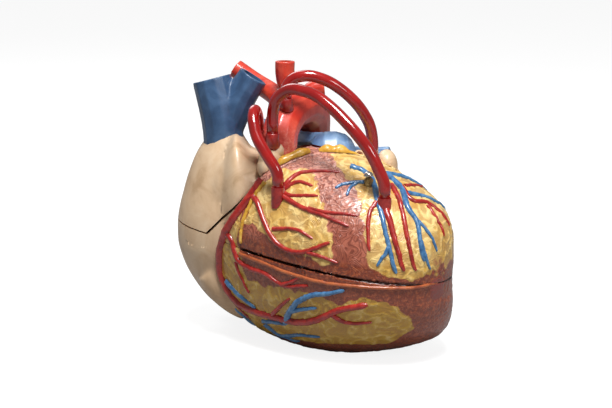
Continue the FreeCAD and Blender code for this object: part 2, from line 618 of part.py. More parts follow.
# ---------------------------------------------------------------- graft seats and grafts
seats = []
room_for_tubes = []
for landing in (RIGHT_LANDING, FRONT_LANDING, REAR_LANDING):
    top = seat_top(landing)
    seat = drum(landing, top - BOSS_RADIUS * 3, top, BOSS_RADIUS).cut(egg_full)
    seats.append(seat.fuse(drum(landing, top, top + NIPPLE_LENGTH, GRAFT_BORE - NIPPLE_GAP)))
    room_for_tubes.append(drum(landing, top - TUBE_ROOM, TOP, GRAFT_RADIUS + TUBE_ROOM))
parts["front_graft_nipples"] = Part.makeCompound(seats[:2])
parts["rear_graft_nipple"] = seats[2]
for name, route, landing in (("graft_right", RIGHT_GRAFT, RIGHT_LANDING),
                             ("graft_front", FRONT_GRAFT, FRONT_LANDING),
                             ("graft_rear", REAR_GRAFT, REAR_LANDING)):
    whole = upright_end(route, landing)
    parts[name] = hose(whole, GRAFT_RADIUS).cut(hose(whole, GRAFT_BORE))

# ---------------------------------------------------------------- retaining pin
pin_top = crown(PIN_PLACE.x, PIN_PLACE.y)
ferrule_top = pin_top + FERRULE_HEIGHT
ferrule = drum(PIN_PLACE, pin_top - FRONT_WALL_THICK / 2, ferrule_top, FERRULE_RADIUS)
front_wall = front_wall.cut(ferrule)
parts["pin_ferrule"] = ferrule.cut(drum(PIN_PLACE, 0, TOP, PIN_STEM_RADIUS + PIN_GAP))
pin_foot = pin_top - PIN_DEPTH
front_wall = drill(front_wall, PIN_PLACE, pin_foot, TOP, PIN_STEM_RADIUS + PIN_GAP)
base = drill(base, PIN_PLACE, pin_foot - 1, TOP, PIN_STEM_RADIUS + PIN_GAP)
stem = drum(PIN_PLACE, pin_foot, ferrule_top + PIN_STAND, PIN_STEM_RADIUS)
shoulder = drum(PIN_PLACE, ferrule_top, ferrule_top + 1, FERRULE_RADIUS - 0.6)
parts["pin_stem"] = stem.fuse(shoulder)
head = ellipsoid(V(PIN_PLACE.x, PIN_PLACE.y, ferrule_top + PIN_STAND), V(PIN_HEAD_RADIUS, PIN_HEAD_RADIUS, PIN_HEAD_HEIGHT))
head = head.common(half_space(V(0, 0, ferrule_top + PIN_STAND), UP))
parts["pin_head"] = head

# ---------------------------------------------------------------- dowels and magnets of the seams
dowels = []
base_magnets = []
wall_magnets = []
inset = FRONT_WALL_THICK / 2
for station, near, far, kind in SEAM_STOPS:
    place = seam_place(station, near, far, inset)
    level = seam_height(place.x)
    if kind == "dowel":
        dowels.append(drum(place, level - DOWEL_LENGTH / 2, level + DOWEL_LENGTH / 2, DOWEL_RADIUS))
        base = drill(base, place, level - DOWEL_LENGTH / 2, level + 1, DOWEL_RADIUS)
        front_wall = drill(front_wall, place, level - 1, level + DOWEL_LENGTH / 2 + 1, DOWEL_RADIUS + DOWEL_GAP)
    else:
        low = level - MAGNET_RECESS - MAGNET_THICK
        high = level + MAGNET_RECESS
        base = drill(base, place, low, level + 1, MAGNET_RADIUS)
        front_wall = drill(front_wall, place, level - 1, high + MAGNET_THICK, MAGNET_RADIUS)
        base_magnets.append(drum(place, low, low + MAGNET_THICK, MAGNET_RADIUS))
        wall_magnets.append(drum(place, high, high + MAGNET_THICK, MAGNET_RADIUS))
parts["seam_dowels"] = Part.makeCompound(dowels)
parts["base_magnets"] = Part.makeCompound(base_magnets)
parts["front_wall_magnets"] = Part.makeCompound(wall_magnets)
atrium_magnets = []
cap_magnets = []
middle_wall = RIGHT_ATRIUM_RADII - V(ATRIUM_WALL, ATRIUM_WALL, 0) / 2
for degrees in CAP_MAGNET_ANGLES:
    x = RIGHT_ATRIUM_CENTRE.x + middle_wall.x * math.cos(math.radians(degrees))
    y = RIGHT_ATRIUM_CENTRE.y + middle_wall.y * math.sin(math.radians(degrees))
    place = V(x, y, 0)
    level = seam_height(x)
    low = level - MAGNET_RECESS - MAGNET_THICK
    high = level + MAGNET_RECESS
    atrium_base = drill(atrium_base, place, low, level + 1, CAP_MAGNET_RADIUS)
    atrium_cap = drill(atrium_cap, place, level - 1, high + MAGNET_THICK, CAP_MAGNET_RADIUS)
    atrium_magnets.append(drum(place, low, low + MAGNET_THICK, CAP_MAGNET_RADIUS))
    cap_magnets.append(drum(place, high, high + MAGNET_THICK, CAP_MAGNET_RADIUS))
parts["atrium_magnets"] = Part.makeCompound(atrium_magnets)
parts["cap_magnets"] = Part.makeCompound(cap_magnets)
parts["mitral_valve"] = largest(parts["mitral_valve"].cut(base))
parts["aortic_valve"] = parts["aortic_valve"].cut(parts["right_auricle"])
parts["ventricle_base"] = base
parts["front_wall"] = front_wall
parts["right_atrium_base"] = atrium_base
parts["right_atrium_cap"] = atrium_cap

# ---------------------------------------------------------------- vessels in relief and fat
# Where two raised vessels cross, the vein is let into the artery.
left_auricle = parts["left_auricle"]
coronary = trimmed(relief(RIGHT_CORONARY, egg_full), [wall_zone, right_atrium])
base_veins = trimmed(relief(BASE_VEINS, egg_full), [wall_zone, right_atrium] + coronary)
rear_arteries = trimmed(relief(REAR_ARTERIES, egg_full), [wall_zone, left_atrium, left_auricle, pulmonary_outside, seats[2],
                                                        room_for_tubes[2]])
rear_veins = trimmed(relief(REAR_VEINS, egg_full), [left_atrium, right_atrium] + rear_arteries + base_veins)
front_arteries = [solid.common(lid_zone) for solid in relief(FRONT_ARTERIES, egg_full)]
wall_fittings = [ferrule] + seats[:2] + room_for_tubes[:2]
front_arteries = trimmed(front_arteries, wall_fittings)
front_veins = [solid.common(lid_zone) for solid in relief(FRONT_VEINS, egg_full)]
front_veins = trimmed(front_veins, wall_fittings + front_arteries)
for name, solids in (("right_coronary_artery", coronary), ("base_veins", base_veins),
                     ("rear_arteries", rear_arteries), ("rear_veins", rear_veins),
                     ("front_arteries", front_arteries), ("front_veins", front_veins)):
    parts[name] = Part.makeCompound(solids)
ridges = []
for line in (LEFT_FAT, RIGHT_FAT):
    ridge = vessel([(V(x, y, crown(x, y)), radius) for x, y, radius in line])
    ridges.extend(trimmed([ridge.cut(egg_full).cut(in_front)],
                          [aorta_outside, pulmonary_outside, parts["right_auricle"], parts["aortic_graft_bosses"]]))
parts["fat_ridges"] = Part.makeCompound(ridges)

os.makedirs("parts", exist_ok=True)
for name, shape in sorted(parts.items()):
    print(name, shape.isValid(), len(shape.Solids), round(shape.Volume))
    shape.exportStep("parts/" + name + ".step")
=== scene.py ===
# %% [markdown]
# # A take-apart heart with bypass grafts
#
# The real thing is a painted resin casting: a plump egg of two ventricles with a lift-off
# front, a beige right atrium with its own cap, blue and red great vessels on top, and three
# soft glossy tubes that bridge from the aorta to the front.  The solid model gives every
# piece its place.  This script turns the plain solids into cast and painted ones.

# %% Load the solid model
import json
import math
import bpy
import numpy as np
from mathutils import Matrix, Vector, noise


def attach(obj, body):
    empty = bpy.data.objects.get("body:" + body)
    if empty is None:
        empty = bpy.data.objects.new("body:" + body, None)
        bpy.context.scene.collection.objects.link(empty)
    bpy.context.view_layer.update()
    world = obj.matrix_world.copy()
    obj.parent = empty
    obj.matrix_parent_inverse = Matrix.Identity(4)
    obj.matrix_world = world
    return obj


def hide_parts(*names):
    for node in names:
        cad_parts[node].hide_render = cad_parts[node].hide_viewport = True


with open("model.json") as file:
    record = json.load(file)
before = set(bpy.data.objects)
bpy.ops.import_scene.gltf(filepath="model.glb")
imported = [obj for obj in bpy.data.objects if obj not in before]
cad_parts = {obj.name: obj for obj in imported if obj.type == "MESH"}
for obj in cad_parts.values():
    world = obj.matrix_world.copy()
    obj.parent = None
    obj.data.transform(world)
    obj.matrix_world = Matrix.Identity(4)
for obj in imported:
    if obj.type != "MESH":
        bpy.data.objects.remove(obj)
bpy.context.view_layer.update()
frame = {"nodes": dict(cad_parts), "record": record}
nodes = frame["nodes"]
scene = bpy.context.scene
MM = 0.001
print("solid pieces:", len(nodes))

# %% [markdown]
# ## Places on the heart
#
# Everything painted or raised on the ventricles is placed as on a globe: a station is the
# distance along the long axis, and an angle runs round it, 0 at the right side and 90 on
# the crown.  The same formula that shapes the egg turns a place into a point and back.

# %% The egg and its two-way formula
AXIS = np.array((0.7425, -0.6623, -0.1003))
SIDE = np.array((AXIS[1], -AXIS[0], 0)) / math.hypot(AXIS[0], AXIS[1])
RISE = np.cross(SIDE, AXIS)
EGG_CENTRE = np.array((-18.0, 0.0, 72.0))
WIDEST, REAR_LENGTH, APEX_LENGTH = 18, 84, 112
HALF_WIDTH, CROWN_HEIGHT, BELLY_HEIGHT = 62, 67, 73.5
CROWN_POWER, BELLY_POWER, APEX_POWER, REAR_POWER = 2.15, 2.35, 2.3, 2


def egg_point(station, degrees):
    """The point on the egg at a station and an angle, in millimetres."""
    length, exponent = (APEX_LENGTH, APEX_POWER) if station > WIDEST else (REAR_LENGTH, REAR_POWER)
    along = min(1, abs((station - WIDEST) / length))
    size = (1 - along ** exponent) ** (1 / exponent)
    cosine, sine = math.cos(math.radians(degrees)), math.sin(math.radians(degrees))
    height, bulge = (CROWN_HEIGHT, CROWN_POWER) if sine > 0 else (BELLY_HEIGHT, BELLY_POWER)
    across = HALF_WIDTH * size * math.copysign(abs(cosine) ** (2 / bulge), cosine)
    rise = height * size * math.copysign(abs(sine) ** (2 / bulge), sine)
    return EGG_CENTRE + AXIS * station + SIDE * across + RISE * rise


def egg_place(points):
    """Station, angle and depth of each point, where depth is 1 on the egg and less inside."""
    offset = points - EGG_CENTRE
    station = offset @ AXIS
    front = station > WIDEST
    length = np.where(front, APEX_LENGTH, REAR_LENGTH)
    exponent = np.where(front, APEX_POWER, REAR_POWER)
    along = np.clip(np.abs((station - WIDEST) / length), 0, 0.999)
    size = (1 - along ** exponent) ** (1 / exponent)
    across = (offset @ SIDE) / (HALF_WIDTH * size)
    rise = (offset @ RISE) / size
    bulge = np.where(rise > 0, CROWN_POWER, BELLY_POWER)
    rise = rise / np.where(rise > 0, CROWN_HEIGHT, BELLY_HEIGHT)
    angle = np.degrees(np.arctan2(np.sign(rise) * np.abs(rise) ** (bulge / 2),
                                  np.sign(across) * np.abs(across) ** (bulge / 2)))
    depth = (np.abs(across) ** bulge + np.abs(rise) ** bulge) ** (1 / bulge)
    return station, np.where(angle < -100, angle + 360, angle), depth


print("crown of the egg at station 30:", egg_point(30, 90).round(1))

# %% [markdown]
# ## Castings
#
# Most large pieces start as a copy of their solid.  A voxel remesh gives it even faces, as a
# sculptor's clay has, and a light smoothing melts the hard corners where branches meet.

# %% Copy, remesh and soften a solid
def pick(*objects):
    """Selects only these objects, with the first one active."""
    bpy.ops.object.select_all(action="DESELECT")
    for thing in objects:
        thing.select_set(True)
    bpy.context.view_layer.objects.active = objects[0]


def merged_copy(node, name):
    """A copy of a solid with its loose triangles joined up."""
    piece = bpy.data.objects.new(name, nodes[node].data.copy())
    scene.collection.objects.link(piece)
    pick(piece)
    bpy.ops.object.mode_set(mode="EDIT")
    bpy.ops.mesh.select_all(action="SELECT")
    bpy.ops.mesh.remove_doubles(threshold=0.01 * MM)
    bpy.ops.object.mode_set(mode="OBJECT")
    return piece


def melt(piece, grain, passes):
    """Remeshes a piece: grain is the face size in millimetres, passes the smoothing."""
    pick(piece)
    piece.data.remesh_voxel_size = grain * MM
    bpy.ops.object.voxel_remesh()
    if passes:
        soften = piece.modifiers.new("soften", "SMOOTH")
        soften.factor = 0.5
        soften.iterations = passes
        bpy.ops.object.modifier_apply(modifier="soften")


def casting(node, name, grain, passes):
    """A remeshed and softened copy of a solid."""
    piece = merged_copy(node, name)
    melt(piece, grain, passes)
    bpy.ops.object.shade_smooth()
    print(name, len(piece.data.polygons), "faces")
    return piece


def vertex_data(piece):
    """Points and normals of a piece, in millimetres."""
    count = len(piece.data.vertices)
    points = np.empty(count * 3)
    normals = np.empty(count * 3)
    piece.data.vertices.foreach_get("co", points)
    piece.data.vertices.foreach_get("normal", normals)
    return points.reshape(-1, 3) / MM, normals.reshape(-1, 3)


def place_points(piece, points):
    """Puts the points of a piece in new places, in millimetres."""
    piece.data.vertices.foreach_set("co", (points * MM).ravel())
    piece.data.update()


def push(piece, points, normals, heights):
    """Moves every point along its normal by its height in millimetres."""
    place_points(piece, points + normals * heights[:, None])


def note(piece, name, values):
    """Writes one number per point, for the paint to read."""
    layer = piece.data.attributes.new(name, "FLOAT", "POINT")
    layer.data.foreach_set("value", values.astype(np.float32))


def waves(points, size, seed):
    """Smooth noise from -1 to 1 with features of a size in millimetres."""
    shift = Vector((seed * 17.3, seed * 5.1, seed * 9.7))
    return np.array([noise.noise(Vector(point) / size + shift) for point in points])


def smooth_step(low, high, value):
    """0 below low, 1 above high and a soft slope between."""
    part = np.clip((value - low) / (high - low), 0, 1)
    return part * part * (3 - 2 * part)


SWELL_SIZE, SWELL_SEED = 24, 8


def make_uneven(piece, depth):
    """Presses slow waves into a piece, up to twice a depth in millimetres, and returns them."""
    points, normals = vertex_data(piece)
    swell = waves(points, SWELL_SIZE, SWELL_SEED)
    push(piece, points, normals, depth * (swell - 1))
    return swell


def shade(piece, degrees):
    """Shades a piece smooth, apart from edges sharper than an angle."""
    pick(piece)
    bpy.ops.object.shade_smooth_by_angle(angle=math.radians(degrees))


BODY_OF = {node: body for body, members in frame["record"]["behaviour"]["bodies"].items() for node in members}


def stand_in(piece, node):
    """Puts a piece in the place of a solid, on the body that carries the solid."""
    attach(piece, BODY_OF[node])
    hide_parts(node)


# %% [markdown]
# ## The sculpted skin of the ventricles
#
# The casting shows two textures.  Fat lies in soft lobes with thin wandering wrinkles, and
# bare muscle has close fibres that swirl round knots.  Where each one lies is drawn as a few
# outlines on the egg.  The height of the texture is cut into the skin, never added, so that
# the heart keeps its size, and it is also noted on each point, so that the paint can darken
# the hollows as painted shade and lighten the fat ridges as painted highlight.

# %% Outlines of the fat
LEFT_PAD = [(19, 56), (30, 60), (38, 62), (52, 53), (60, 44), (71, 34), (80, 21), (82, 13), (81, 6),
            (68, 5), (56, 7), (41, 7), (27, 10), (16, 14), (9, 13), (7, 23), (9, 33), (12, 44)]
RIGHT_PAD = [(36, 84), (51, 75), (63, 68), (73, 64), (83, 58), (87, 48), (94, 40), (99, 29), (104, 17),
             (110, 11), (118, 10), (125, 14), (129, 42), (129, 128), (122, 150), (96, 158), (66, 146),
             (48, 126), (40, 104)]
BODY_PAD = [(6, 34), (4, 19), (4, 7), (4, 0), (9, -7), (15, -14), (32, -14), (49, -12), (65, -10),
            (77, -11), (88, -14), (95, -11), (105, -8), (113, -10), (120, -17), (123, -40), (118, -58),
            (103, -60), (86, -51), (68, -49), (51, -51), (37, -54), (15, -60), (-10, -62), (-34, -50),
            (-34, -10), (-15, 4), (-6, 20), (0, 34)]
REAR_GROOVE_PAD = [(-40, 110), (16, 118), (30, 140), (12, 172), (40, 180), (96, 184), (104, 200),
                   (60, 210), (14, 214), (10, 236), (-40, 250)]
MM_PER_DEGREE = 1.1


def inside_outline(station, angle, outline):
    """Distance inside an outline in millimetres, negative outside."""
    place = np.stack([station, angle * MM_PER_DEGREE], axis=1)
    corners = np.array(outline, float) * (1, MM_PER_DEGREE)
    nearest = np.full(len(place), 1e9)
    within = np.zeros(len(place), bool)
    for start, end in zip(corners, np.roll(corners, -1, axis=0)):
        run = end - start
        share = np.clip(((place - start) @ run) / (run @ run), 0, 1)
        nearest = np.minimum(nearest, np.linalg.norm(place - start - share[:, None] * run, axis=1))
        crosses = (start[1] > place[:, 1]) != (end[1] > place[:, 1])
        rise = np.where(end[1] == start[1], 1e-9, end[1] - start[1])
        within ^= crosses & (place[:, 0] < start[0] + (place[:, 1] - start[1]) / rise * run[0])
    return np.where(within, nearest, -nearest)


# %% Cut the texture into a casting
SEAM_HEIGHT, SEAM_TILT = 65, 0.03
PAINTED_SEAM_HEIGHT, PAINTED_SEAM_TILT = 66, 0.11
TEXTURE_DEPTH = 1.1
EDGE_REACH, EDGE_DEPTH = (0.3, 1.1), 0.6
RIM_REACH, RIM_BACK = (2, 15), 10
SKIN_DEPTH = (0.955, 0.985)
FRAY = [(2.6, 8, 1), (1.6, 3.2, 2)]
FAT_SOFTNESS, FAT_SPREAD = 1.5, 12
WRINKLE = {"size": 7.5, "seed": 4, "width": 0.17}
SWIRL = {"size": 5.5, "seed": 11, "width": 0.16}


def wandering_lines(points, size, seed, width):
    """Thin lines that wander over the surface, 1 on a line and 0 off it."""
    bend = np.stack([waves(points, size * 0.8, seed + step) for step in range(3)], axis=1)
    return 1 - smooth_step(width * 0.3, width, np.abs(waves(points + bend * size * 0.5, size, seed + 5)))


def sculpt_skin(piece, outlines):
    """Cuts lobes, wrinkles and swirls into the outer skin and notes them for the paint."""
    points, normals = vertex_data(piece)
    station, angle, depth = egg_place(points)
    skin = smooth_step(*SKIN_DEPTH, depth)
    inside = np.max([inside_outline(station, angle, outline) for outline in outlines], axis=0)
    for reach, size, seed in FRAY:
        inside = inside + reach * waves(points, size, seed)
    fat = smooth_step(-FAT_SOFTNESS, FAT_SOFTNESS, inside)
    wrinkle = wandering_lines(points, **WRINKLE)
    lobes = 0.5 + 0.5 * waves(points, 6.5, 5)
    swirl = wandering_lines(points, **SWIRL)
    muscle_height = 0.42 + 0.16 * waves(points, 7, 6) + 0.22 * swirl + 0.1 * waves(points, 3.4, 7)
    fat_height = 0.34 + 0.26 * lobes + 0.40 * wrinkle
    height = fat_height * fat + muscle_height * (1 - fat)
    above_seam = points[:, 2] - (SEAM_HEIGHT - SEAM_TILT * points[:, 0])
    edge = 1 - smooth_step(*EDGE_REACH, np.abs(above_seam))
    push(piece, points, normals, ((height - 1) * TEXTURE_DEPTH - edge * EDGE_DEPTH) * skin)
    note(piece, "fat", np.clip(0.5 + inside / FAT_SPREAD, 0, 1) * skin)
    note(piece, "height", height)
    note(piece, "skin", skin)
    rim = 1 - smooth_step(*RIM_REACH, np.abs(above_seam))
    note(piece, "rim", rim * (points[:, 1] < RIM_BACK))
    # The band along the seam is noted for the near-black painted shade in the gap.
    note(piece, "seam_shade", edge)


# %% Tilt the seam and fill out the apex
SEAM_STRETCH = (9, 36)
FULLER_AT = [0, 12, 19, 26, 33, 40, 46, 53, 60, 70, 80, 90, 100, 115, 130]
FULLER_BY = [17, 17, 14, 10.5, 7, 3.5, 1, 0, 0, 1.5, 3, 4.5, 5, 5, 4]
FARTHEST = 91


def tilt_seam(piece):
    """Leans the seam of a finished piece down towards the apex, and stretches what is near."""
    points, _ = vertex_data(piece)
    seam = SEAM_HEIGHT - SEAM_TILT * points[:, 0]
    lean = PAINTED_SEAM_HEIGHT - PAINTED_SEAM_TILT * points[:, 0] - seam
    near = 1 - smooth_step(*SEAM_STRETCH, np.abs(points[:, 2] - seam))
    points[:, 2] += lean * near
    place_points(piece, points)


def fill_out(piece, start, end):
    """Makes the outer skin fuller at the apex, from nothing at x = start to all of it at end."""
    points, _ = vertex_data(piece)
    skin = np.empty(len(points))
    piece.data.attributes["skin"].data.foreach_get("value", skin)
    further = np.interp(points[:, 2], FULLER_AT, FULLER_BY) * smooth_step(start, end, points[:, 0]) * skin
    points[:, 0] = np.maximum(points[:, 0], np.minimum(points[:, 0] + further, FARTHEST))
    place_points(piece, points)


front_skin = casting("front_wall", "front_wall_casting", grain=1.0, passes=3)
sculpt_skin(front_skin, [LEFT_PAD, RIGHT_PAD])
tilt_seam(front_skin)
fill_out(front_skin, start=46, end=84)
base_skin = casting("ventricle_base", "ventricle_casting", grain=1.25, passes=3)
sculpt_skin(base_skin, [BODY_PAD, RIGHT_PAD, REAR_GROOVE_PAD])
tilt_seam(base_skin)
fill_out(base_skin, start=12, end=70)

# %% [markdown]
# ## Great vessels
#
# The aorta, the pulmonary trunk and the upper vena cava are swept along centre lines, each
# point with its own radius, and melted together where they branch.  A thinner sweep along the
# same lines is taken out again, so that every end is an open tube, and the egg of the
# ventricles is cut from the roots.

# %% Round cords along smooth lines
STEPS_PER_SPAN = 7
BEVEL_RESOLUTION = 4


def rounded(route):
    """A smooth line through the places of a route."""
    places = [np.array(place, float) for place in route]
    padded = [2 * places[0] - places[1]] + places + [2 * places[-1] - places[-2]]
    line = []
    for a, b, c, d in zip(padded, padded[1:], padded[2:], padded[3:]):
        for step in range(STEPS_PER_SPAN):
            t = step / STEPS_PER_SPAN
            line.append(0.5 * (2 * b + (c - a) * t + (2 * a - 5 * b + 4 * c - d) * t * t
                               + (3 * b - a - 3 * c + d) * t ** 3))
    return line + [places[-1]]


def swept(name, lines):
    """One mesh of round cords: each line is a list of (point, radius), in millimetres."""
    curve = bpy.data.curves.new(name, "CURVE")
    curve.dimensions = "3D"
    curve.bevel_depth = MM
    curve.bevel_resolution = BEVEL_RESOLUTION
    curve.use_fill_caps = True
    for line in lines:
        spline = curve.splines.new("POLY")
        spline.points.add(len(line) - 1)
        for knot, (point, radius) in zip(spline.points, line):
            knot.co = (*(np.array(point) * MM), 1)
            knot.radius = radius
    cord = bpy.data.objects.new(name, curve)
    scene.collection.objects.link(cord)
    pick(cord)
    bpy.ops.object.convert(target="MESH")
    bpy.ops.object.shade_smooth()
    return bpy.context.object


def cords(name, routes, thinner=0):
    """Round cords through places x, y, z and radius, all of them thinner by so much."""
    return swept(name, [[(place[:3], place[3] - thinner) for place in rounded(route)] for route in routes])


# %% Cut one solid with another
EGG_STEP = 5


def cut(piece, tool, operation):
    """Keeps the part of a piece outside a tool (DIFFERENCE) or inside it (INTERSECT)."""
    trim = piece.modifiers.new("trim", "BOOLEAN")
    trim.operation = operation
    trim.solver = "EXACT"
    trim.object = tool
    pick(piece)
    bpy.ops.object.modifier_apply(modifier="trim")
    bpy.data.objects.remove(tool)


def mesh_piece(name, corners, faces):
    """A piece from corner points in millimetres and faces."""
    mesh = bpy.data.meshes.new(name)
    mesh.from_pydata([tuple(np.array(corner) * MM) for corner in corners], [], faces)
    piece = bpy.data.objects.new(name, mesh)
    scene.collection.objects.link(piece)
    pick(piece)
    bpy.ops.object.mode_set(mode="EDIT")
    bpy.ops.mesh.select_all(action="SELECT")
    bpy.ops.mesh.normals_make_consistent(inside=False)
    bpy.ops.object.mode_set(mode="OBJECT")
    return piece


def egg_solid():
    """The whole egg of the ventricles, as a tool to cut with."""
    stations = [WIDEST - REAR_LENGTH * math.cos(math.radians(turn)) for turn in range(EGG_STEP, 90, EGG_STEP)]
    stations += [WIDEST + APEX_LENGTH * math.sin(math.radians(turn)) for turn in range(0, 90, EGG_STEP)]
    around = range(0, 360, EGG_STEP)
    corners = [egg_point(station, degrees) for station in stations for degrees in around]
    count = len(around)
    faces = [(row * count + step, row * count + (step + 1) % count,
              (row + 1) * count + (step + 1) % count, (row + 1) * count + step)
             for row in range(len(stations) - 1) for step in range(count)]
    faces += [tuple(range(count)), tuple(range((len(stations) - 1) * count, len(stations) * count))]
    return mesh_piece("egg_tool", corners, faces)


# %% Sweep the great vessels: centre line points x, y, z with the radius at each
VESSEL_WALL = 3
LONGER = 4
VESSEL_GRAIN = 0.9
VESSEL_UNEVENNESS = 0.25
AORTA_LINES = [
    [(-26, -20, 104, 13.5), (-27, -19, 128, 13), (-26, -15, 146, 13), (-20, -3, 157, 13.5),
     (-11, 13, 160, 14), (-5, 29, 153, 14), (-4, 38, 138, 13.5), (-4, 40, 118, 13)],
    [(-19, 0, 158, 8), (-30, 18, 167, 7.5), (-45, 32, 175, 7.2), (-59, 37, 184, 7.2)],
    [(-15, 6, 162, 8), (-21, 7, 175, 7.2), (-23, 7, 184, 7.2), (-23, 7, 193, 7.4)],
    [(-9, 17, 162, 7.5), (-7, 18, 168, 6.8), (-2, 18, 172, 6.4), (5, 18, 173, 6.4)],
]
PULMONARY_LINES = [
    [(8, -8, 104, 15.5), (9, -7, 116, 17.5), (9.5, -4, 128, 18.5), (9.5, 3, 136, 15)],
    [(8, 5, 133, 10), (-8, 12, 133, 9.5), (-24, 26, 134, 9), (-36, 44, 136, 8.5), (-42, 56, 137, 8.5)],
    [(9, 2, 128, 10.5), (22, 4, 125, 9), (37, 5, 124.5, 8), (51, 2, 126, 7.5)],
]
CAVA_LINES = [
    [(-66, 8, 110, 15.5), (-66.5, 8, 130, 14.3), (-67, 9, 146, 14.8), (-70, 10, 162, 14.4),
     (-74.5, 12, 180, 14)],
    [(-66, 9, 136, 11), (-61.5, 9, 151, 12), (-54.5, 9, 167, 11.6), (-45, 9, 182, 10.8)],
]


def lengthened(line):
    """The line with both ends drawn out."""
    line = [np.array(place, float) for place in line]
    ends = []
    for end, before in ((line[0], line[1]), (line[-1], line[-2])):
        run = (end - before)[:3]
        ends.append(np.append(end[:3] + run / np.linalg.norm(run) * LONGER, end[3]))
    return [ends[0]] + line + [ends[1]]


def great_vessel(name, lines, passes, on_egg):
    """Tubes with open ends, melted together, with slow waves in their walls."""
    piece = cords(name, lines)
    melt(piece, VESSEL_GRAIN, passes)
    make_uneven(piece, VESSEL_UNEVENNESS)
    bore = cords(name + "_bore", [lengthened(line) for line in lines], thinner=VESSEL_WALL)
    melt(bore, VESSEL_GRAIN, 0)
    cut(piece, bore, "DIFFERENCE")
    if on_egg:
        cut(piece, egg_solid(), "DIFFERENCE")
    shade(piece, 55)
    print(name, len(piece.data.polygons), "faces")
    return piece


cast = {
    "aorta": great_vessel("aorta_casting", AORTA_LINES, passes=7, on_egg=True),
    "pulmonary_trunk": great_vessel("pulmonary_trunk_casting", PULMONARY_LINES, passes=6, on_egg=True),
    "superior_vena_cava": great_vessel("upper_vena_cava_casting", CAVA_LINES, passes=6, on_egg=False),
}

# %% [markdown]
# ## The right atrium
#
# The two halves of the atrium are melted into one hollow form with a fuller front lobe, which
# is then parted anew along a V: the near arm of the seam climbs beside the groove, so that the
# lower half keeps a rim along the ventricles and the cap comes off up and outwards.

# %% Part the atrium along its V seam
SEAM_CORNER = (-77.6, 77.4)
SEAM_LEFT = (-130, 85.6)
SEAM_RIGHT = (40, 199.8)
SEAM_GAP = {"drop": 1.3, "shift": 2.6}
CORNER_SHARE = 0.4
BLOCK_TOP, BLOCK_REACH = 260, 90
DRAWN_SIDE, DRAWN_FROM, DRAWN_OVER, DRAWN_SHARE = (-62, -46), 80, 45, 0.3
SHIFTED_SIDE = (-76, -42)
ATRIUM_SHIFT_AT = [0, 20, 45, 63, 82, 100, 118, 140]
ATRIUM_SHIFT_BY = [0, 0, -1, -1.5, 0.4, 3.2, 4.5, 5]
ATRIUM_GRAIN = 1.1
MELT_TOGETHER, MELT_AGAIN = 34, 8
FILLERS = [
    [(-66, -13, 84, 12), (-66, -14, 100, 13.5), (-63, -12, 112, 11)],
    [(-74, -12, 48, 13), (-66, -13, 37, 14), (-56, -14, 29, 14.5), (-46, -16, 24, 14)],
]


def v_block(drop, shift):
    """The space above the V seam: drop lowers the far arm, shift moves the near arm aside."""
    left, right = SEAM_LEFT[0], SEAM_RIGHT[0] + shift
    profile = [(SEAM_CORNER[0] + shift * CORNER_SHARE, SEAM_CORNER[1] - drop), (left, SEAM_LEFT[1] - drop),
               (left, BLOCK_TOP), (right, BLOCK_TOP), (right, SEAM_RIGHT[1])]
    count = len(profile)
    corners = [(x, side * BLOCK_REACH, z) for side in (-1, 1) for x, z in profile]
    faces = [tuple(range(count)), tuple(range(count, 2 * count))]
    faces += [(step, (step + 1) % count, (step + 1) % count + count, step + count) for step in range(count)]
    return mesh_piece("v_tool", corners, faces)


def reshape_atrium(piece):
    """Draws the top up into the vena cava, slims the shoulder and fills out the flank."""
    points, _ = vertex_data(piece)
    left = 1 - smooth_step(*DRAWN_SIDE, points[:, 0])
    points[:, 2] += DRAWN_SHARE * left * np.clip(points[:, 2] - DRAWN_FROM, 0, DRAWN_OVER)
    side = 1 - smooth_step(*SHIFTED_SIDE, points[:, 0])
    points[:, 0] += np.interp(points[:, 2], ATRIUM_SHIFT_AT, ATRIUM_SHIFT_BY) * side
    place_points(piece, points)


def atrium_half(name, operation, drop=0, shift=0):
    """One half of the joined atrium, on its side of the seam."""
    half = merged_copy("right_atrium_cap", name)
    lower = merged_copy("right_atrium_base", name + "_lower")
    filler = cords(name + "_filler", FILLERS)
    pick(half, lower, filler)
    bpy.ops.object.join()
    melt(half, ATRIUM_GRAIN, MELT_TOGETHER)
    reshape_atrium(half)
    melt(half, ATRIUM_GRAIN, MELT_AGAIN)
    make_uneven(half, VESSEL_UNEVENNESS)
    cut(half, v_block(drop, shift), operation)
    shade(half, 45)
    print(name, len(half.data.polygons), "faces")
    return half


cast["right_atrium_cap"] = atrium_half("atrium_cap_casting", "INTERSECT")
cast["right_atrium_base"] = atrium_half("atrium_base_casting", "DIFFERENCE", **SEAM_GAP)

# %% [markdown]
# ## Left atrium, auricles and small castings
#
# These are plainer: smooth walls with the slow unevenness of a part that was modelled in
# clay.  A coarse noise pushes each one in by a few tenths of a millimetre.

# %% Cast the plain pieces: name, face size, smoothing passes, depth of the waves, and an offset
PLAIN_CASTINGS = {
    "left_atrium": ("left_atrium_casting", 1.6, 6, 0.3, (0, 0, 0)),
    "right_auricle": ("right_auricle_casting", 0.6, 8, 0.15, (0, 0, 0)),
    "left_auricle": ("left_auricle_casting", 0.7, 8, 0.15, (-5, 0, -1.5)),
    "inferior_vena_cava": ("lower_vena_cava_casting", 0.9, 5, 0.15, (4, 4, 1)),
    "pulmonary_veins": ("lung_vein_castings", 0.8, 4, 0.15, (0, 0, 0)),
}
for node, (name, grain, passes, depth, offset) in PLAIN_CASTINGS.items():
    cast[node] = casting(node, name, grain, passes)
    note(cast[node], "height", 0.5 + 0.5 * make_uneven(cast[node], depth))
    place_points(cast[node], vertex_data(cast[node])[0] + offset)

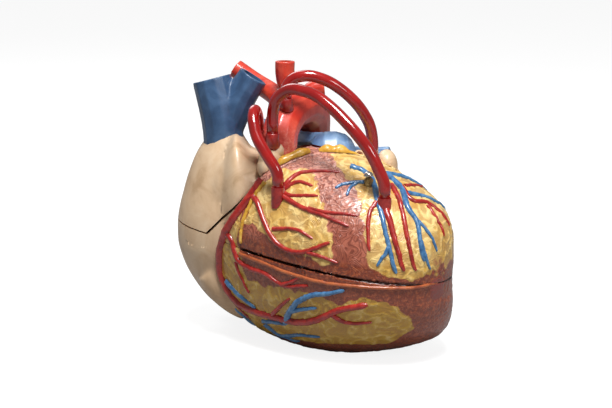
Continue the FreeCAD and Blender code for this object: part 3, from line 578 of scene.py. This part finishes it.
# %% Lumps of fat along the rear edge of the front wall
FAT_LINES = [
    [(-29, -36, 126, 2.4), (-24, -35.5, 129.5, 3.6), (-18, -33.5, 132, 3.2), (-12, -31.5, 134, 3.9),
     (-6, -29, 135, 2.6)],
    [(1, -27, 134, 2.6), (6, -26.5, 135.5, 4.3), (10, -26, 135, 3.5), (15, -25, 134.5, 4.8),
     (20, -24, 132, 3.6), (25, -22, 129.5, 3.9), (28.5, -20.5, 126.5, 2.6)],
]
WALL_EDGE = (-33, -43.5)
WALL_FACING = (0.296, -0.955)
WALL_GAP, WALL_REACH, WALL_RUN, WALL_TOP = 0.2, 90, 150, 220
lumps = cords("fat_ridge_castings", FAT_LINES)
cut(lumps, egg_solid(), "DIFFERENCE")
facing = np.array(WALL_FACING) / np.linalg.norm(WALL_FACING)
along = np.array((-facing[1], facing[0]))
around = ((-WALL_RUN, WALL_GAP), (WALL_RUN, WALL_GAP), (WALL_RUN, WALL_REACH), (-WALL_RUN, WALL_REACH))
plan = [np.array(WALL_EDGE) + along * run + facing * out for run, out in around]
front_block = mesh_piece("wall_tool", [(x, y, z) for z in (0, WALL_TOP) for x, y in plan],
                         [(0, 1, 2, 3), (4, 5, 6, 7), (0, 1, 5, 4), (1, 2, 6, 5), (2, 3, 7, 6), (3, 0, 4, 7)])
cut(lumps, front_block, "DIFFERENCE")
shade(lumps, 60)
cast["fat_ridges"] = lumps
cast["front_wall"] = front_skin
cast["ventricle_base"] = base_skin
for node, piece in cast.items():
    stand_in(piece, node)
print("castings:", len(cast))

# %% [markdown]
# ## Vessels in relief
#
# Arteries and veins are half-round cords laid on the skin that taper towards their tips.
# Each one is a curve through a few places on the egg, rounded off, dropped on to the sculpted
# skin and swept with a circle.  All vessels of one kind on one casting are joined.

# %% Lay tapering vessels on the skin
SINK, LIFT = 0.25, 0.3
VESSEL_BREADTH = 1.2
BREADTH_WAVE, BREADTH_WAVE_SIZE = 0.09, 6
TIP_SHARE = 0.55


def laid(name, skin, routes):
    """Half-sunk cords along routes on a casting."""
    lines = []
    for index, (thick, thin, route) in enumerate(routes):
        places = rounded(route)
        last = len(places) - 1
        line = []
        for order, (station, degrees) in enumerate(places):
            point = egg_point(station, degrees)
            _, spot, normal, _ = skin.closest_point_on_mesh(Vector(point * MM))
            radius = VESSEL_BREADTH * (thick + (thin - thick) * order / last)
            wave = noise.noise(Vector(point) / BREADTH_WAVE_SIZE + Vector((index, 0, 0)))
            radius *= 1 + BREADTH_WAVE * wave
            if order == last:
                radius *= TIP_SHARE
            spot = np.array(spot) / MM + np.array(normal) * (LIFT - SINK * radius)
            line.append((spot, radius))
        lines.append(line)
    return swept(name, lines)


def relief(node, name, skin, routes):
    """Vessels of one kind, laid on a casting in place of their plain solid."""
    piece = laid(name, skin, routes)
    stand_in(piece, node)
    print(name, len(routes), "vessels")
    return piece


# %% Routes of the vessels: thickness at the start and the end, then the places
RIGHT_CORONARY = [
    (3, 1.8, [(8, 44), (5, 31), (-5, 13), (-15, -2), (-18, -14), (-12, -26), (4, -33), (24, -32), (43, -31),
              (55, -31), (71, -27), (84, -20), (92, -17), (106, -14)]),
    (1.6, 0.9, [(84, -22), (93, -28), (107, -31)]),
    (2.1, 1.1, [(-12, 6), (-3, 3), (5, -4), (17, -6), (32, -6), (48, -9), (67, -6)]),
    (1.4, 0.8, [(46, -9), (54, -6), (60, -3)]),
    (1.2, 0.8, [(3, -6), (9, -13), (16, -20)]),
    (1.4, 0.8, [(36, -29), (45, -21), (53, -15)]),
    (1.3, 0.8, [(-16, -20), (-6, -34), (8, -44)]),
]
BASE_VEINS = [
    (1.9, 1.2, [(-10, -21), (5, -25), (20, -29)]),
    (2.1, 1.2, [(46, -33), (50, -26), (58, -17), (69, -11), (82, -8), (92, -5)]),
    (1.4, 0.9, [(54, -23), (63, -20), (73, -18)]),
    (1.5, 1, [(23, -39), (34, -36), (45, -35)]),
    (1.7, 0.9, [(24, -41), (33, -50), (53, -43), (70, -42)]),
    (1.1, 0.7, [(33, -49), (43, -53), (49, -52)]),
    (1.4, 0.9, [(-18, -30), (-8, -42), (8, -52)]),
]
REAR_ARTERIES = [
    (2.4, 1.6, [(45, 120), (30, 131), (16, 142), (4, 158), (-4, 174), (-10, 190)]),
    (1.6, 0.9, [(16, 142), (40, 150), (70, 157), (96, 164)]),
    (1.6, 0.9, [(-4, 187), (20, 189), (50, 187), (84, 184)]),
    (1.8, 1, [(-22, 228), (6, 228), (40, 228), (76, 222)]),
    (1.1, 0.7, [(40, 150), (52, 143), (66, 141)]),
    (1.1, 0.7, [(50, 187), (62, 194), (76, 197)]),
]
REAR_VEINS = [
    (3.6, 3.2, [(2, 168), (-7, 182), (-16, 200), (-22, 216), (-26, 232)]),
    (1.8, 1, [(-12, 200), (14, 202), (48, 202), (80, 198), (100, 193)]),
    (2, 1.1, [(-22, 222), (8, 221), (42, 219), (78, 213)]),
    (1.1, 0.7, [(20, 202), (34, 210), (48, 211)]),
]
FRONT_ARTERIES = [
    (1.7, 1, [(28, 41), (32, 54), (40, 61), (57, 70)]),
    (1.5, 0.9, [(30, 42), (37, 50), (49, 51)]),
    (1.5, 0.9, [(31, 40), (39, 40), (57, 46)]),
    (1.8, 0.9, [(31, 38), (49, 35), (70, 35), (86, 35)]),
    (1.2, 0.8, [(55, 36), (69, 38), (88, 45)]),
    (2, 1.2, [(7, 32), (14, 29), (21, 23), (30, 16), (40, 10), (52, 8), (64, 11), (78, 20)]),
    (1.3, 0.8, [(64, 10), (75, 10), (86, 9)]),
    (1.3, 0.8, [(34, 17), (52, 21), (66, 19)]),
    (2.2, 1.2, [(95, 67), (106, 55), (116, 37), (122, 17)]),
    (1.8, 1.1, [(87, 87), (100, 79), (112, 64), (121, 45), (126, 23)]),
    (1.5, 1, [(92, 63), (93, 52), (98, 38), (103, 24)]),
    (1.8, 1, [(91, 92), (103, 90), (106, 103), (112, 114), (117, 126)]),
    (1.3, 0.8, [(108, 101), (116, 103), (123, 109)]),
    (1.4, 0.9, [(91, 96), (90, 108), (88, 122)]),
]
FRONT_VEINS = [
    (2.1, 1.2, [(58, 80), (68, 82), (80, 77), (93, 63), (101, 54), (112, 35), (119, 12)]),
    (1.3, 0.8, [(112, 34), (111, 24), (109, 14)]),
    (1.4, 0.9, [(77, 73), (71, 67), (66, 61), (64, 56)]),
    (1.1, 0.8, [(73, 68), (72, 62), (74, 55)]),
    (2.2, 1.2, [(76, 94), (94, 90), (106, 80), (115, 77), (122, 64), (127, 48)]),
    (1.3, 0.8, [(122, 66), (126, 58), (129, 46)]),
    (1.3, 0.8, [(115, 78), (121, 83), (127, 88)]),
    (1.7, 1, [(97, 91), (101, 104), (104, 120), (104, 134)]),
    (1.7, 1, [(76, 96), (80, 107), (84, 120), (84, 134)]),
]
VESSELS = {
    "right_coronary_artery": ("right_coronary", base_skin, RIGHT_CORONARY),
    "base_veins": ("lower_veins", base_skin, BASE_VEINS),
    "rear_arteries": ("rear_arteries", base_skin, REAR_ARTERIES),
    "rear_veins": ("rear_veins", base_skin, REAR_VEINS),
    "front_arteries": ("front_arteries", front_skin, FRONT_ARTERIES),
    "front_veins": ("front_veins", front_skin, FRONT_VEINS),
}
vessels = {node: relief(node, *settings) for node, settings in VESSELS.items()}

# %% Beads along the opening: a golden one up the left edge and a brown one under the seam
EDGE_BEAD = [(1.3, 1.0, [(12, 43), (10, 36), (8, 29), (6, 21), (5, 14), (5, 8), (7, 3)])]
RIM_BEAD = [(1.2, 1.0, [(7, -1.5), (21, -1.5), (35, -1.8), (51, -2.5), (67, -2.8), (81, -3), (94, -2.4),
                        (106, -2.2), (116, -2), (123, -2.5), (130, -4)])]
edge_bead = laid("edge_bead", front_skin, EDGE_BEAD)
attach(edge_bead, "front_wall")
rim_bead = laid("rim_bead", base_skin, RIM_BEAD)
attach(rim_bead, "base")

# %% [markdown]
# ## Soft tubes
#
# The grafts are moulded PVC tubes, so their surface is perfectly even.  A merged copy of the
# solid with smooth shading keeps the exact bends and the open ends.

# %% Smooth the tubes and the stud, and set the stud's head a little lower
SMOOTH_COPIES = ["graft_right", "graft_front", "graft_rear", "pin_head", "pin_stem"]
STUD_LOWER = 3.5
STUD_FROM = 125.5
for node in SMOOTH_COPIES:
    tube = merged_copy(node, node + "_moulding")
    if node.startswith("pin"):
        points, _ = vertex_data(tube)
        points[:, 2] -= STUD_LOWER * (points[:, 2] > STUD_FROM)
        place_points(tube, points)
    shade(tube, 50)
    stand_in(tube, node)
    cast[node] = tube
boss = casting("aortic_graft_bosses", "graft_boss_castings", grain=0.45, passes=6)
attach(boss, "base")
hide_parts("aortic_graft_bosses")
cast["aortic_graft_bosses"] = boss

# %% Seat the dowels and magnets on the leaning seam and on the V seam
MAGNET_INWARD = 3.2
ATRIUM_MIDDLE = (-68, 8)
ATRIUM_MAGNET_INWARD = 1.8


def leaned_copy(node):
    """A copy of seam fittings, each moved up or down with the seam and a little inwards."""
    piece = merged_copy(node, node + "_seated")
    tilt_seam(piece)
    points, _ = vertex_data(piece)
    outward = points - EGG_CENTRE - ((points - EGG_CENTRE) @ AXIS)[:, None] * AXIS
    outward[:, 2] = 0
    outward /= np.linalg.norm(outward, axis=1)[:, None]
    place_points(piece, points - MAGNET_INWARD * outward)
    stand_in(piece, node)
    return piece


def v_seated_copy(node):
    """A copy of the atrium's magnets, moved up to its V seam and a little inwards."""
    piece = merged_copy(node, node + "_seated")
    points, _ = vertex_data(piece)
    far_arm = np.interp(points[:, 0], (SEAM_LEFT[0], SEAM_CORNER[0]), (SEAM_LEFT[1], SEAM_CORNER[1]))
    near_arm = np.interp(points[:, 0], (SEAM_CORNER[0], SEAM_RIGHT[0]), (SEAM_CORNER[1], SEAM_RIGHT[1]))
    seam = np.where(points[:, 0] < SEAM_CORNER[0], far_arm, near_arm)
    points[:, 2] += seam - (SEAM_HEIGHT - SEAM_TILT * points[:, 0])
    inward = np.array(ATRIUM_MIDDLE) - points[:, :2]
    points[:, :2] += inward / np.linalg.norm(inward, axis=1)[:, None] * ATRIUM_MAGNET_INWARD
    place_points(piece, points)
    stand_in(piece, node)
    return piece


for node in ("base_magnets", "front_wall_magnets", "seam_dowels"):
    cast[node] = leaned_copy(node)
for node in ("cap_magnets", "atrium_magnets"):
    cast[node] = v_seated_copy(node)

# %% A small cut artery beside the left auricle
STUB = [(24.5, -7.5, 116, 3.6), (26.5, -12, 124, 3.6), (29, -17.5, 131.5, 3.6)]
STUB_WALL = 1.3
stub = cords("cut_artery", [STUB])
cut(stub, cords("cut_artery_bore", [lengthened(STUB)], thinner=STUB_WALL), "DIFFERENCE")
shade(stub, 50)
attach(stub, "base")

# %% [markdown]
# ## Paint
#
# A painter of such models works in three layers: a flat coat, a darker wash and dry-brushed
# lights, all under a clear varnish.  The finishes below mix the same three layers from the noted
# height and from noise; on the heart the darker hollows are painted shade and the lighter ridges
# painted highlight.

# %% A small kit for writing finishes
def paint_colour(red, green, blue):
    """A colour from 0-255 values as light, by the sRGB formula."""
    light = [v / 255 / 12.92 if v <= 10 else ((v / 255 + 0.055) / 1.055) ** 2.4 for v in (red, green, blue)]
    return (*light, 1)


class Number:
    """A number in a finish: arithmetic on it adds the Math nodes."""

    def __init__(self, finish, socket):
        self.finish, self.socket = finish, socket

    def calc(self, operation, first, second=0.0):
        settings = {"operation": operation}
        return Number(self.finish, self.finish.node("ShaderNodeMath", settings, {0: first, 1: second}))

    def __add__(self, other):
        return self.calc("ADD", self, other)

    def __sub__(self, other):
        return self.calc("SUBTRACT", self, other)

    def __rsub__(self, other):
        return self.calc("SUBTRACT", other, self)

    def __mul__(self, other):
        return self.calc("MULTIPLY", self, other)

    def __truediv__(self, other):
        return self.calc("DIVIDE", self, other)

    __radd__ = __add__
    __rmul__ = __mul__

    def between(self, low, high):
        """0 below low and 1 above high, with a soft slope."""
        sockets = {"Value": self, "From Min": low, "From Max": high}
        settings = {"interpolation_type": "SMOOTHSTEP"}
        return Number(self.finish, self.finish.node("ShaderNodeMapRange", settings, sockets))


class Finish:
    """A painted or moulded surface."""

    def __init__(self, name, rough=0.4, coat=0.0, coat_rough=0.1, metal=0.0):
        self.material = bpy.data.materials.new(name)
        self.material.use_nodes = True
        self.tree = self.material.node_tree
        self.shader = self.tree.nodes["Principled BSDF"]
        self.shader.inputs["Roughness"].default_value = rough
        self.shader.inputs["Metallic"].default_value = metal
        self.shader.inputs["Coat Weight"].default_value = coat
        self.shader.inputs["Coat Roughness"].default_value = coat_rough
        self.place = self.node("ShaderNodeTexCoord", {}, {}, "Object")

    def node(self, kind, settings, sockets, output=0):
        """Adds a node, makes its settings, fills its sockets and returns an output."""
        made = self.tree.nodes.new(kind)
        for name, value in settings.items():
            setattr(made, name, value)
        for name, value in sockets.items():
            self.fill(made.inputs[name], value)
        return made.outputs[output]

    def fill(self, socket, value):
        """Links a socket or sets its value."""
        if isinstance(value, Number):
            value = value.socket
        if isinstance(value, bpy.types.NodeSocket):
            self.tree.links.new(value, socket)
        else:
            socket.default_value = value

    def noise(self, size, detail=3.0, rough=0.5, twist=0.0):
        """Noise from 0 to 1 with features of a size in millimetres."""
        sockets = {"Vector": self.place, "Scale": 1 / (size * MM), "Detail": detail, "Roughness": rough,
                   "Distortion": twist}
        return Number(self, self.node("ShaderNodeTexNoise", {}, sockets, "Fac"))

    def noted(self, name):
        """A number noted on the points of the piece."""
        settings = {"attribute_name": name, "attribute_type": "GEOMETRY"}
        return Number(self, self.node("ShaderNodeAttribute", settings, {}, "Fac"))

    def mix(self, share, first, second):
        """From the first colour to the second."""
        return self.node("ShaderNodeMix", {"data_type": "RGBA"}, {0: share, 6: first, 7: second}, 2)

    def height_mm(self):
        """Height above the table in millimetres."""
        split = self.node("ShaderNodeSeparateXYZ", {}, {0: self.place}, 2)
        return Number(self, split) / MM

    def bump(self, height, depth):
        """Raises the surface by up to a depth in millimetres."""
        sockets = {"Height": height, "Distance": depth * MM, "Strength": 1.0}
        self.fill(self.shader.inputs["Normal"], self.node("ShaderNodeBump", {}, sockets))

    def colour(self, colour):
        """Sets the base colour and returns the material."""
        self.fill(self.shader.inputs["Base Color"], colour)
        return self.material

    def roughness(self, low, high, share):
        """Roughness from low to high, as a share says."""
        self.fill(self.shader.inputs["Roughness"], share * (high - low) + low)


def dress(piece, material):
    """Gives a new piece its finish."""
    piece.data.materials.clear()
    piece.data.materials.append(material)


def coat_solid(node, material):
    """Gives a carried-over solid its finish."""
    if nodes[node].material_slots:
        nodes[node].material_slots[0].material = material
    else:
        nodes[node].data.materials.append(material)


# %% Paint of the ventricles
FAT_LIGHT = paint_colour(238, 206, 138)
FAT = paint_colour(222, 178, 96)
FAT_HOLLOW_SHADE = paint_colour(158, 102, 34)
# Olive fat colour for the painted shade on the lower half.
FAT_IN_PAINTED_SHADE = paint_colour(188, 142, 14)
# Pink for the painted highlight on the crown of the muscle.
MUSCLE_PINK_HIGHLIGHT = paint_colour(226, 166, 148)
MUSCLE_LIGHT = paint_colour(184, 106, 84)
MUSCLE = paint_colour(154, 80, 60)
MUSCLE_DEEP = paint_colour(104, 42, 30)
RIM_BROWN = paint_colour(122, 48, 22)
RIM_LIGHT = paint_colour(172, 88, 48)
INSIDE_RED = paint_colour(150, 62, 52)
# Near-black for the painted shade in the gap along the seam.
SEAM_PAINTED_SHADE = paint_colour(40, 14, 8)


def heart_paint(name):
    """Fat and muscle under varnish, with dry-brushed specks: darker in the hollows, towards the bottom and
    along the seam as painted shade, lighter on the fat ridges and the muscle crown as painted highlight.
    """
    finish = Finish(name, rough=0.36, coat=0.5, coat_rough=0.18)
    height = finish.noted("height")
    fine = finish.noise(2.2, 4, 0.6)
    patch = finish.noise(16, 3, 0.55, 0.6)
    speck = finish.noise(1.1, 2, 0.5)
    contour = finish.noise(11, 1.5, 0.45, 0.9)
    contour = contour.calc("SINE", contour * 62)
    swirl = contour.between(0.2, 0.95)
    # low is 1 on the lower half of the heart, where the paint is darkened as painted shade.
    low = 1 - finish.height_mm().between(48, 96)
    fat = finish.mix(patch.between(0.38, 0.62), FAT, FAT_LIGHT)
    # Painted shade: the fat turns olive towards the bottom.
    fat = finish.mix(low * 0.85, fat, FAT_IN_PAINTED_SHADE)
    # Painted shade: darker fat in the hollows of the texture.
    fat = finish.mix((1 - height.between(0.44, 0.60)) * 0.5, fat, FAT_HOLLOW_SHADE)
    # Painted highlight: lighter fat on the tops of the ridges.
    fat = finish.mix(height.between(0.72, 0.95) * 0.5, fat, FAT_LIGHT)
    muscle = finish.mix(patch.between(0.35, 0.65), MUSCLE, MUSCLE_LIGHT)
    # top is 1 on the crown of the heart, where the muscle gets pink painted highlight.
    top = finish.height_mm().between(88, 128)
    muscle = finish.mix(top * fine.between(0.3, 0.62) * 0.8, muscle, MUSCLE_PINK_HIGHLIGHT)
    muscle = finish.mix(swirl * 0.7, muscle, MUSCLE_DEEP)
    # Painted shade: darker muscle in the hollows of the texture.
    muscle = finish.mix((1 - height.between(0.25, 0.5)) * 0.45, muscle, MUSCLE_DEEP)
    # Pink dry-brush specks, kept to the crown: partly paint and partly painted highlight.
    muscle = finish.mix(speck.between(0.62, 0.74) * top * 0.7, muscle, MUSCLE_PINK_HIGHLIGHT)
    rim = finish.noted("rim")
    brown = finish.mix(fine.between(0.42, 0.7), RIM_BROWN, RIM_LIGHT)
    brown = finish.mix(swirl * 0.35, brown, MUSCLE_DEEP)
    muscle = finish.mix((rim * 1.4 + patch * 0.5 - 0.25).between(0.2, 0.9), muscle, brown)
    # Painted shade: the muscle turns brown towards the bottom.
    muscle = finish.mix(low * 0.75, muscle, brown)
    edge = finish.noted("fat") + fine * 0.16 - 0.08
    skin = finish.mix(edge.between(0.45, 0.56), muscle, fat)
    cavity = finish.mix(patch, INSIDE_RED, MUSCLE_DEEP)
    colour = finish.mix(finish.noted("skin").between(0.2, 0.6), cavity, skin)
    # Painted shade: near-black in the gap along the seam.
    colour = finish.mix(finish.noted("seam_shade").between(0.55, 1.0) * 0.85, colour, SEAM_PAINTED_SHADE)
    finish.bump(fine * 0.5 + speck * 0.3 + contour * 0.3, 0.24)
    finish.roughness(0.28, 0.5, fine)
    return finish.colour(colour)


HEART = heart_paint("painted heart muscle and fat")
dress(front_skin, HEART)
dress(base_skin, HEART)


# %% Paint of the smooth castings
def brushed_paint(name, main, light, deep, size=14, rough=0.38, coat=0.4, painted_shade_below=0.0):
    """One colour with brush marks, worn lights and a darker wash, and where asked painted shade that darkens
    it towards the bottom.
    """
    finish = Finish(name, rough=rough, coat=coat, coat_rough=0.18)
    patch = finish.noise(size, 4, 0.55, 0.8)
    fine = finish.noise(2.0, 4, 0.6)
    colour = finish.mix(patch.between(0.45, 0.7) * 0.7, main, light)
    colour = finish.mix((1 - patch.between(0.28, 0.5)) * 0.7, colour, deep)
    colour = finish.mix(fine.between(0.6, 0.8) * 0.25, colour, light)
    # Painted shade: darker towards the table, by as much as asked.
    if painted_shade_below:
        colour = finish.mix((1 - finish.height_mm().between(20, 100)) * painted_shade_below, colour, deep)
    finish.bump(fine * 0.5 + patch, 0.22)
    finish.roughness(rough - 0.08, rough + 0.12, fine)
    return finish.colour(colour)


# The atrium beige gets painted shade on its lower part.
BEIGE = brushed_paint("beige atrium paint", paint_colour(214, 182, 146), paint_colour(228, 202, 170),
                      paint_colour(178, 142, 104), 20, 0.42, 0.3, painted_shade_below=0.5)
SLATE = brushed_paint("slate blue paint", paint_colour(52, 82, 118), paint_colour(74, 106, 144),
                      paint_colour(32, 54, 84), 16, 0.4, 0.3)
SKY = brushed_paint("light blue paint", paint_colour(104, 138, 178), paint_colour(152, 178, 204),
                    paint_colour(68, 98, 142), 12, 0.38, 0.4)
GOLD_FAT = brushed_paint("golden fat paint", paint_colour(212, 158, 48), paint_colour(232, 192, 96),
                         paint_colour(150, 98, 22), 6, 0.34, 0.5)
ARTERY = brushed_paint("artery red paint", paint_colour(160, 28, 22), paint_colour(190, 54, 42),
                       paint_colour(108, 14, 10), 5, 0.3, 0.6)
VEIN = brushed_paint("vein blue paint", paint_colour(58, 110, 158), paint_colour(104, 150, 190),
                     paint_colour(26, 66, 112), 5, 0.3, 0.6)
BOSS_RED = brushed_paint("graft boss paint", paint_colour(146, 26, 22), paint_colour(180, 54, 44),
                         paint_colour(92, 10, 10), 7, 0.3, 0.6)
MUSCLE_PAINT = brushed_paint("chamber muscle paint", MUSCLE, MUSCLE_LIGHT, MUSCLE_DEEP, 6, 0.36, 0.4)
RIM_PAINT = brushed_paint("brown rim paint", RIM_LIGHT, paint_colour(196, 112, 62), RIM_BROWN, 5, 0.32, 0.5)
VALVE = brushed_paint("valve cream paint", paint_colour(226, 208, 170), paint_colour(240, 228, 200),
                      paint_colour(184, 158, 116), 5, 0.4, 0.3)
CORD = brushed_paint("cord white paint", paint_colour(228, 222, 206), paint_colour(240, 236, 226),
                     paint_colour(190, 180, 156), 4, 0.4, 0.2)


def aorta_paint():
    """Salmon on the front of the rising part as painted highlight, brighter on the arch, and deep red behind
    and below as painted shade.
    """
    finish = Finish("aorta red paint", rough=0.34, coat=0.5, coat_rough=0.16)
    patch = finish.noise(13, 4, 0.55, 0.8)
    fine = finish.noise(1.8, 4, 0.6)
    place = finish.node("ShaderNodeSeparateXYZ", {}, {0: finish.place}, 1)
    back = (Number(finish, place) / MM).between(-6, 22)
    red = finish.mix(patch.between(0.35, 0.65), paint_colour(190, 44, 30), paint_colour(214, 74, 52))
    salmon_highlight = finish.mix(fine.between(0.4, 0.66), paint_colour(218, 96, 82), paint_colour(236, 150, 132))
    low = 1 - finish.height_mm().between(132, 158)
    # Painted highlight: salmon on the front of the rising part.
    colour = finish.mix((1 - back) * low * patch.between(0.25, 0.55), red, salmon_highlight)
    # Painted shade: deep red behind and below the arch.
    colour = finish.mix(back * low * 0.8, colour, paint_colour(120, 26, 18))
    finish.bump(fine * 0.4 + patch, 0.22)
    return finish.colour(colour)


AORTA = aorta_paint()

# %% [markdown]
# ## Moulded and metal parts
#
# The tubes are through-coloured, with only a slow change of tone along them and a wet shine.
# The stud's head is polished, with small marks of wear, and its shank is brass.

# %% Tube, chrome, brass and plain steel
def tube_plastic():
    """Deep red plastic with a wet shine and a little dust."""
    finish = Finish("glossy tube red", rough=0.16, coat=1.0, coat_rough=0.04)
    tone = finish.noise(18, 2, 0.5)
    dust = finish.noise(0.8, 3, 0.6)
    colour = finish.mix(tone.between(0.35, 0.65), paint_colour(138, 8, 7), paint_colour(160, 15, 11))
    colour = finish.mix(dust.between(0.66, 0.8) * 0.2, colour, paint_colour(196, 96, 88))
    finish.roughness(0.1, 0.24, tone)
    return finish.colour(colour)


def metal(name, light, dark, rough, grain):
    """Bare metal with small marks of wear."""
    finish = Finish(name, rough=rough, metal=1.0)
    wear = finish.noise(grain, 3, 0.6)
    colour = finish.mix(wear.between(0.3, 0.7), dark, light)
    finish.roughness(rough, rough + 0.2, wear)
    finish.bump(wear, 0.03)
    return finish.colour(colour)


TUBE = tube_plastic()
CHROME = metal("polished stud metal", (0.86, 0.86, 0.84, 1), (0.62, 0.61, 0.58, 1), 0.1, 1.2)
BRASS = metal("worn brass", paint_colour(206, 176, 118), paint_colour(140, 108, 62), 0.28, 1.0)
STEEL = metal("plain steel", (0.60, 0.60, 0.62, 1), (0.42, 0.42, 0.44, 1), 0.35, 1.5)
DOWEL = brushed_paint("dowel grey", (0.10, 0.10, 0.10, 1), (0.16, 0.16, 0.16, 1),
                      (0.06, 0.06, 0.06, 1), size=3)

# %% Dress every piece
NEW_FINISH = {
    "right_atrium_cap": (BEIGE, "atrium"), "right_atrium_base": (BEIGE, "atrium"),
    "left_atrium": (BEIGE, "atrium"), "right_auricle": (BEIGE, "atrium"), "left_auricle": (BEIGE, "atrium"),
    "superior_vena_cava": (SLATE, "cava_blue"), "inferior_vena_cava": (SLATE, "cava_blue"),
    "aorta": (AORTA, "aorta_red"), "pulmonary_trunk": (SKY, "lung_blue"),
    "pulmonary_veins": (ARTERY, "aorta_red"), "fat_ridges": (GOLD_FAT, "fat"),
    "graft_right": (TUBE, "graft"), "graft_front": (TUBE, "graft"), "graft_rear": (TUBE, "graft"),
    "pin_head": (CHROME, "pin_steel"), "pin_stem": (BRASS, "pin_brass"),
    "aortic_graft_bosses": (BOSS_RED, "nipple"), "seam_dowels": (DOWEL, "dowel"),
    "base_magnets": (STEEL, "steel"), "front_wall_magnets": (STEEL, "steel"),
    "cap_magnets": (STEEL, "steel"), "atrium_magnets": (STEEL, "steel"),
}
dress(stub, BEIGE)
dress(edge_bead, GOLD_FAT)
dress(rim_bead, RIM_PAINT)
for node, (material, slot_name) in NEW_FINISH.items():
    dress(cast[node], material)
for node, piece in vessels.items():
    red = "arter" in node
    dress(piece, ARTERY if red else VEIN)
SOLID_FINISH = {
    "aortic_valve": VALVE, "pulmonary_valve": VALVE, "mitral_valve": VALVE, "tricuspid_valve": VALVE,
    "tendinous_cords": CORD, "left_papillary_muscles": MUSCLE_PAINT, "right_papillary_muscles": MUSCLE_PAINT,
    "moderator_band": MUSCLE_PAINT, "pin_ferrule": BRASS,
    "front_graft_nipples": BOSS_RED, "rear_graft_nipple": BOSS_RED,
}
for node, material in SOLID_FINISH.items():
    coat_solid(node, material)
print("finishes:", len(bpy.data.materials))

# %% [markdown]
# ## Table, light and camera
#
# A plain white table and a broad soft lamp above the front, as in a small product studio.
# The camera stands a little above the middle of the heart and looks slightly down.

# %% The table and the backdrop
TABLE_SIZE = 6
WHITE_SHARE = 0.86
LIT_GREY, SEEN_GREY = 0.3, 0.24
WORLD_LEVEL = 0.27
bpy.ops.mesh.primitive_plane_add(size=TABLE_SIZE, location=(0, 0, 0))
table = bpy.context.object
table.name = "table"
table_finish = Finish("white table", rough=0.7)
seen = Number(table_finish, table_finish.node("ShaderNodeLightPath", {}, {}, "Is Camera Ray"))
sheet = table_finish.mix(seen, (LIT_GREY, LIT_GREY, LIT_GREY, 1), (SEEN_GREY, SEEN_GREY, SEEN_GREY, 1))
table_finish.fill(table_finish.shader.inputs["Emission Color"],
                  table_finish.mix(seen, (0, 0, 0, 1), (WHITE_SHARE, WHITE_SHARE, WHITE_SHARE, 1)))
table_finish.shader.inputs["Emission Strength"].default_value = 1
table.data.materials.append(table_finish.colour(sheet))

world = bpy.data.worlds.new("studio")
scene.world = world
world.use_nodes = True
tree = world.node_tree
tree.nodes.clear()
rays = tree.nodes.new("ShaderNodeLightPath")
white = tree.nodes.new("ShaderNodeBackground")
white.inputs["Strength"].default_value = 1.0
dim = tree.nodes.new("ShaderNodeBackground")
dim.inputs["Strength"].default_value = WORLD_LEVEL
share = tree.nodes.new("ShaderNodeMixShader")
sky = tree.nodes.new("ShaderNodeOutputWorld")
tree.links.new(rays.outputs["Is Camera Ray"], share.inputs[0])
tree.links.new(dim.outputs[0], share.inputs[1])
tree.links.new(white.outputs[0], share.inputs[2])
tree.links.new(share.outputs[0], sky.inputs[0])


# %% Lamps
def lamp(name, place, target, size, power):
    """A square soft lamp that points at a target."""
    bpy.ops.object.light_add(type="AREA", location=place)
    made = bpy.context.object
    made.name = name
    made.data.size = size
    made.data.energy = power
    made.rotation_euler = (Vector(target) - Vector(place)).to_track_quat("-Z", "Y").to_euler()


lamp("key_lamp", (0.05, -0.5, 1.35), (0, 0, 0.08), size=0.45, power=25)
lamp("side_lamp", (0.8, -0.9, 0.75), (0, 0, 0.1), size=0.35, power=3)
lamp("back_lamp", (-0.5, 1.0, 1.1), (0, 0, 0.1), size=0.8, power=6)

# %% Camera
CAMERA_PLACE = (-0.0083, -1.1214, 0.3306)
CAMERA_TILT = 78
SENSOR_WIDTH = 36
IMAGE_WIDTH = 612
FOCAL_PIXELS = 1623
camera_data = bpy.data.cameras.new("camera")
camera_data.sensor_width = SENSOR_WIDTH
camera_data.lens = FOCAL_PIXELS * SENSOR_WIDTH / IMAGE_WIDTH
camera = bpy.data.objects.new("camera", camera_data)
scene.collection.objects.link(camera)
camera.location = CAMERA_PLACE
camera.rotation_euler = (math.radians(CAMERA_TILT), 0, 0)
scene.camera = camera
scene.view_settings.view_transform = "Standard"
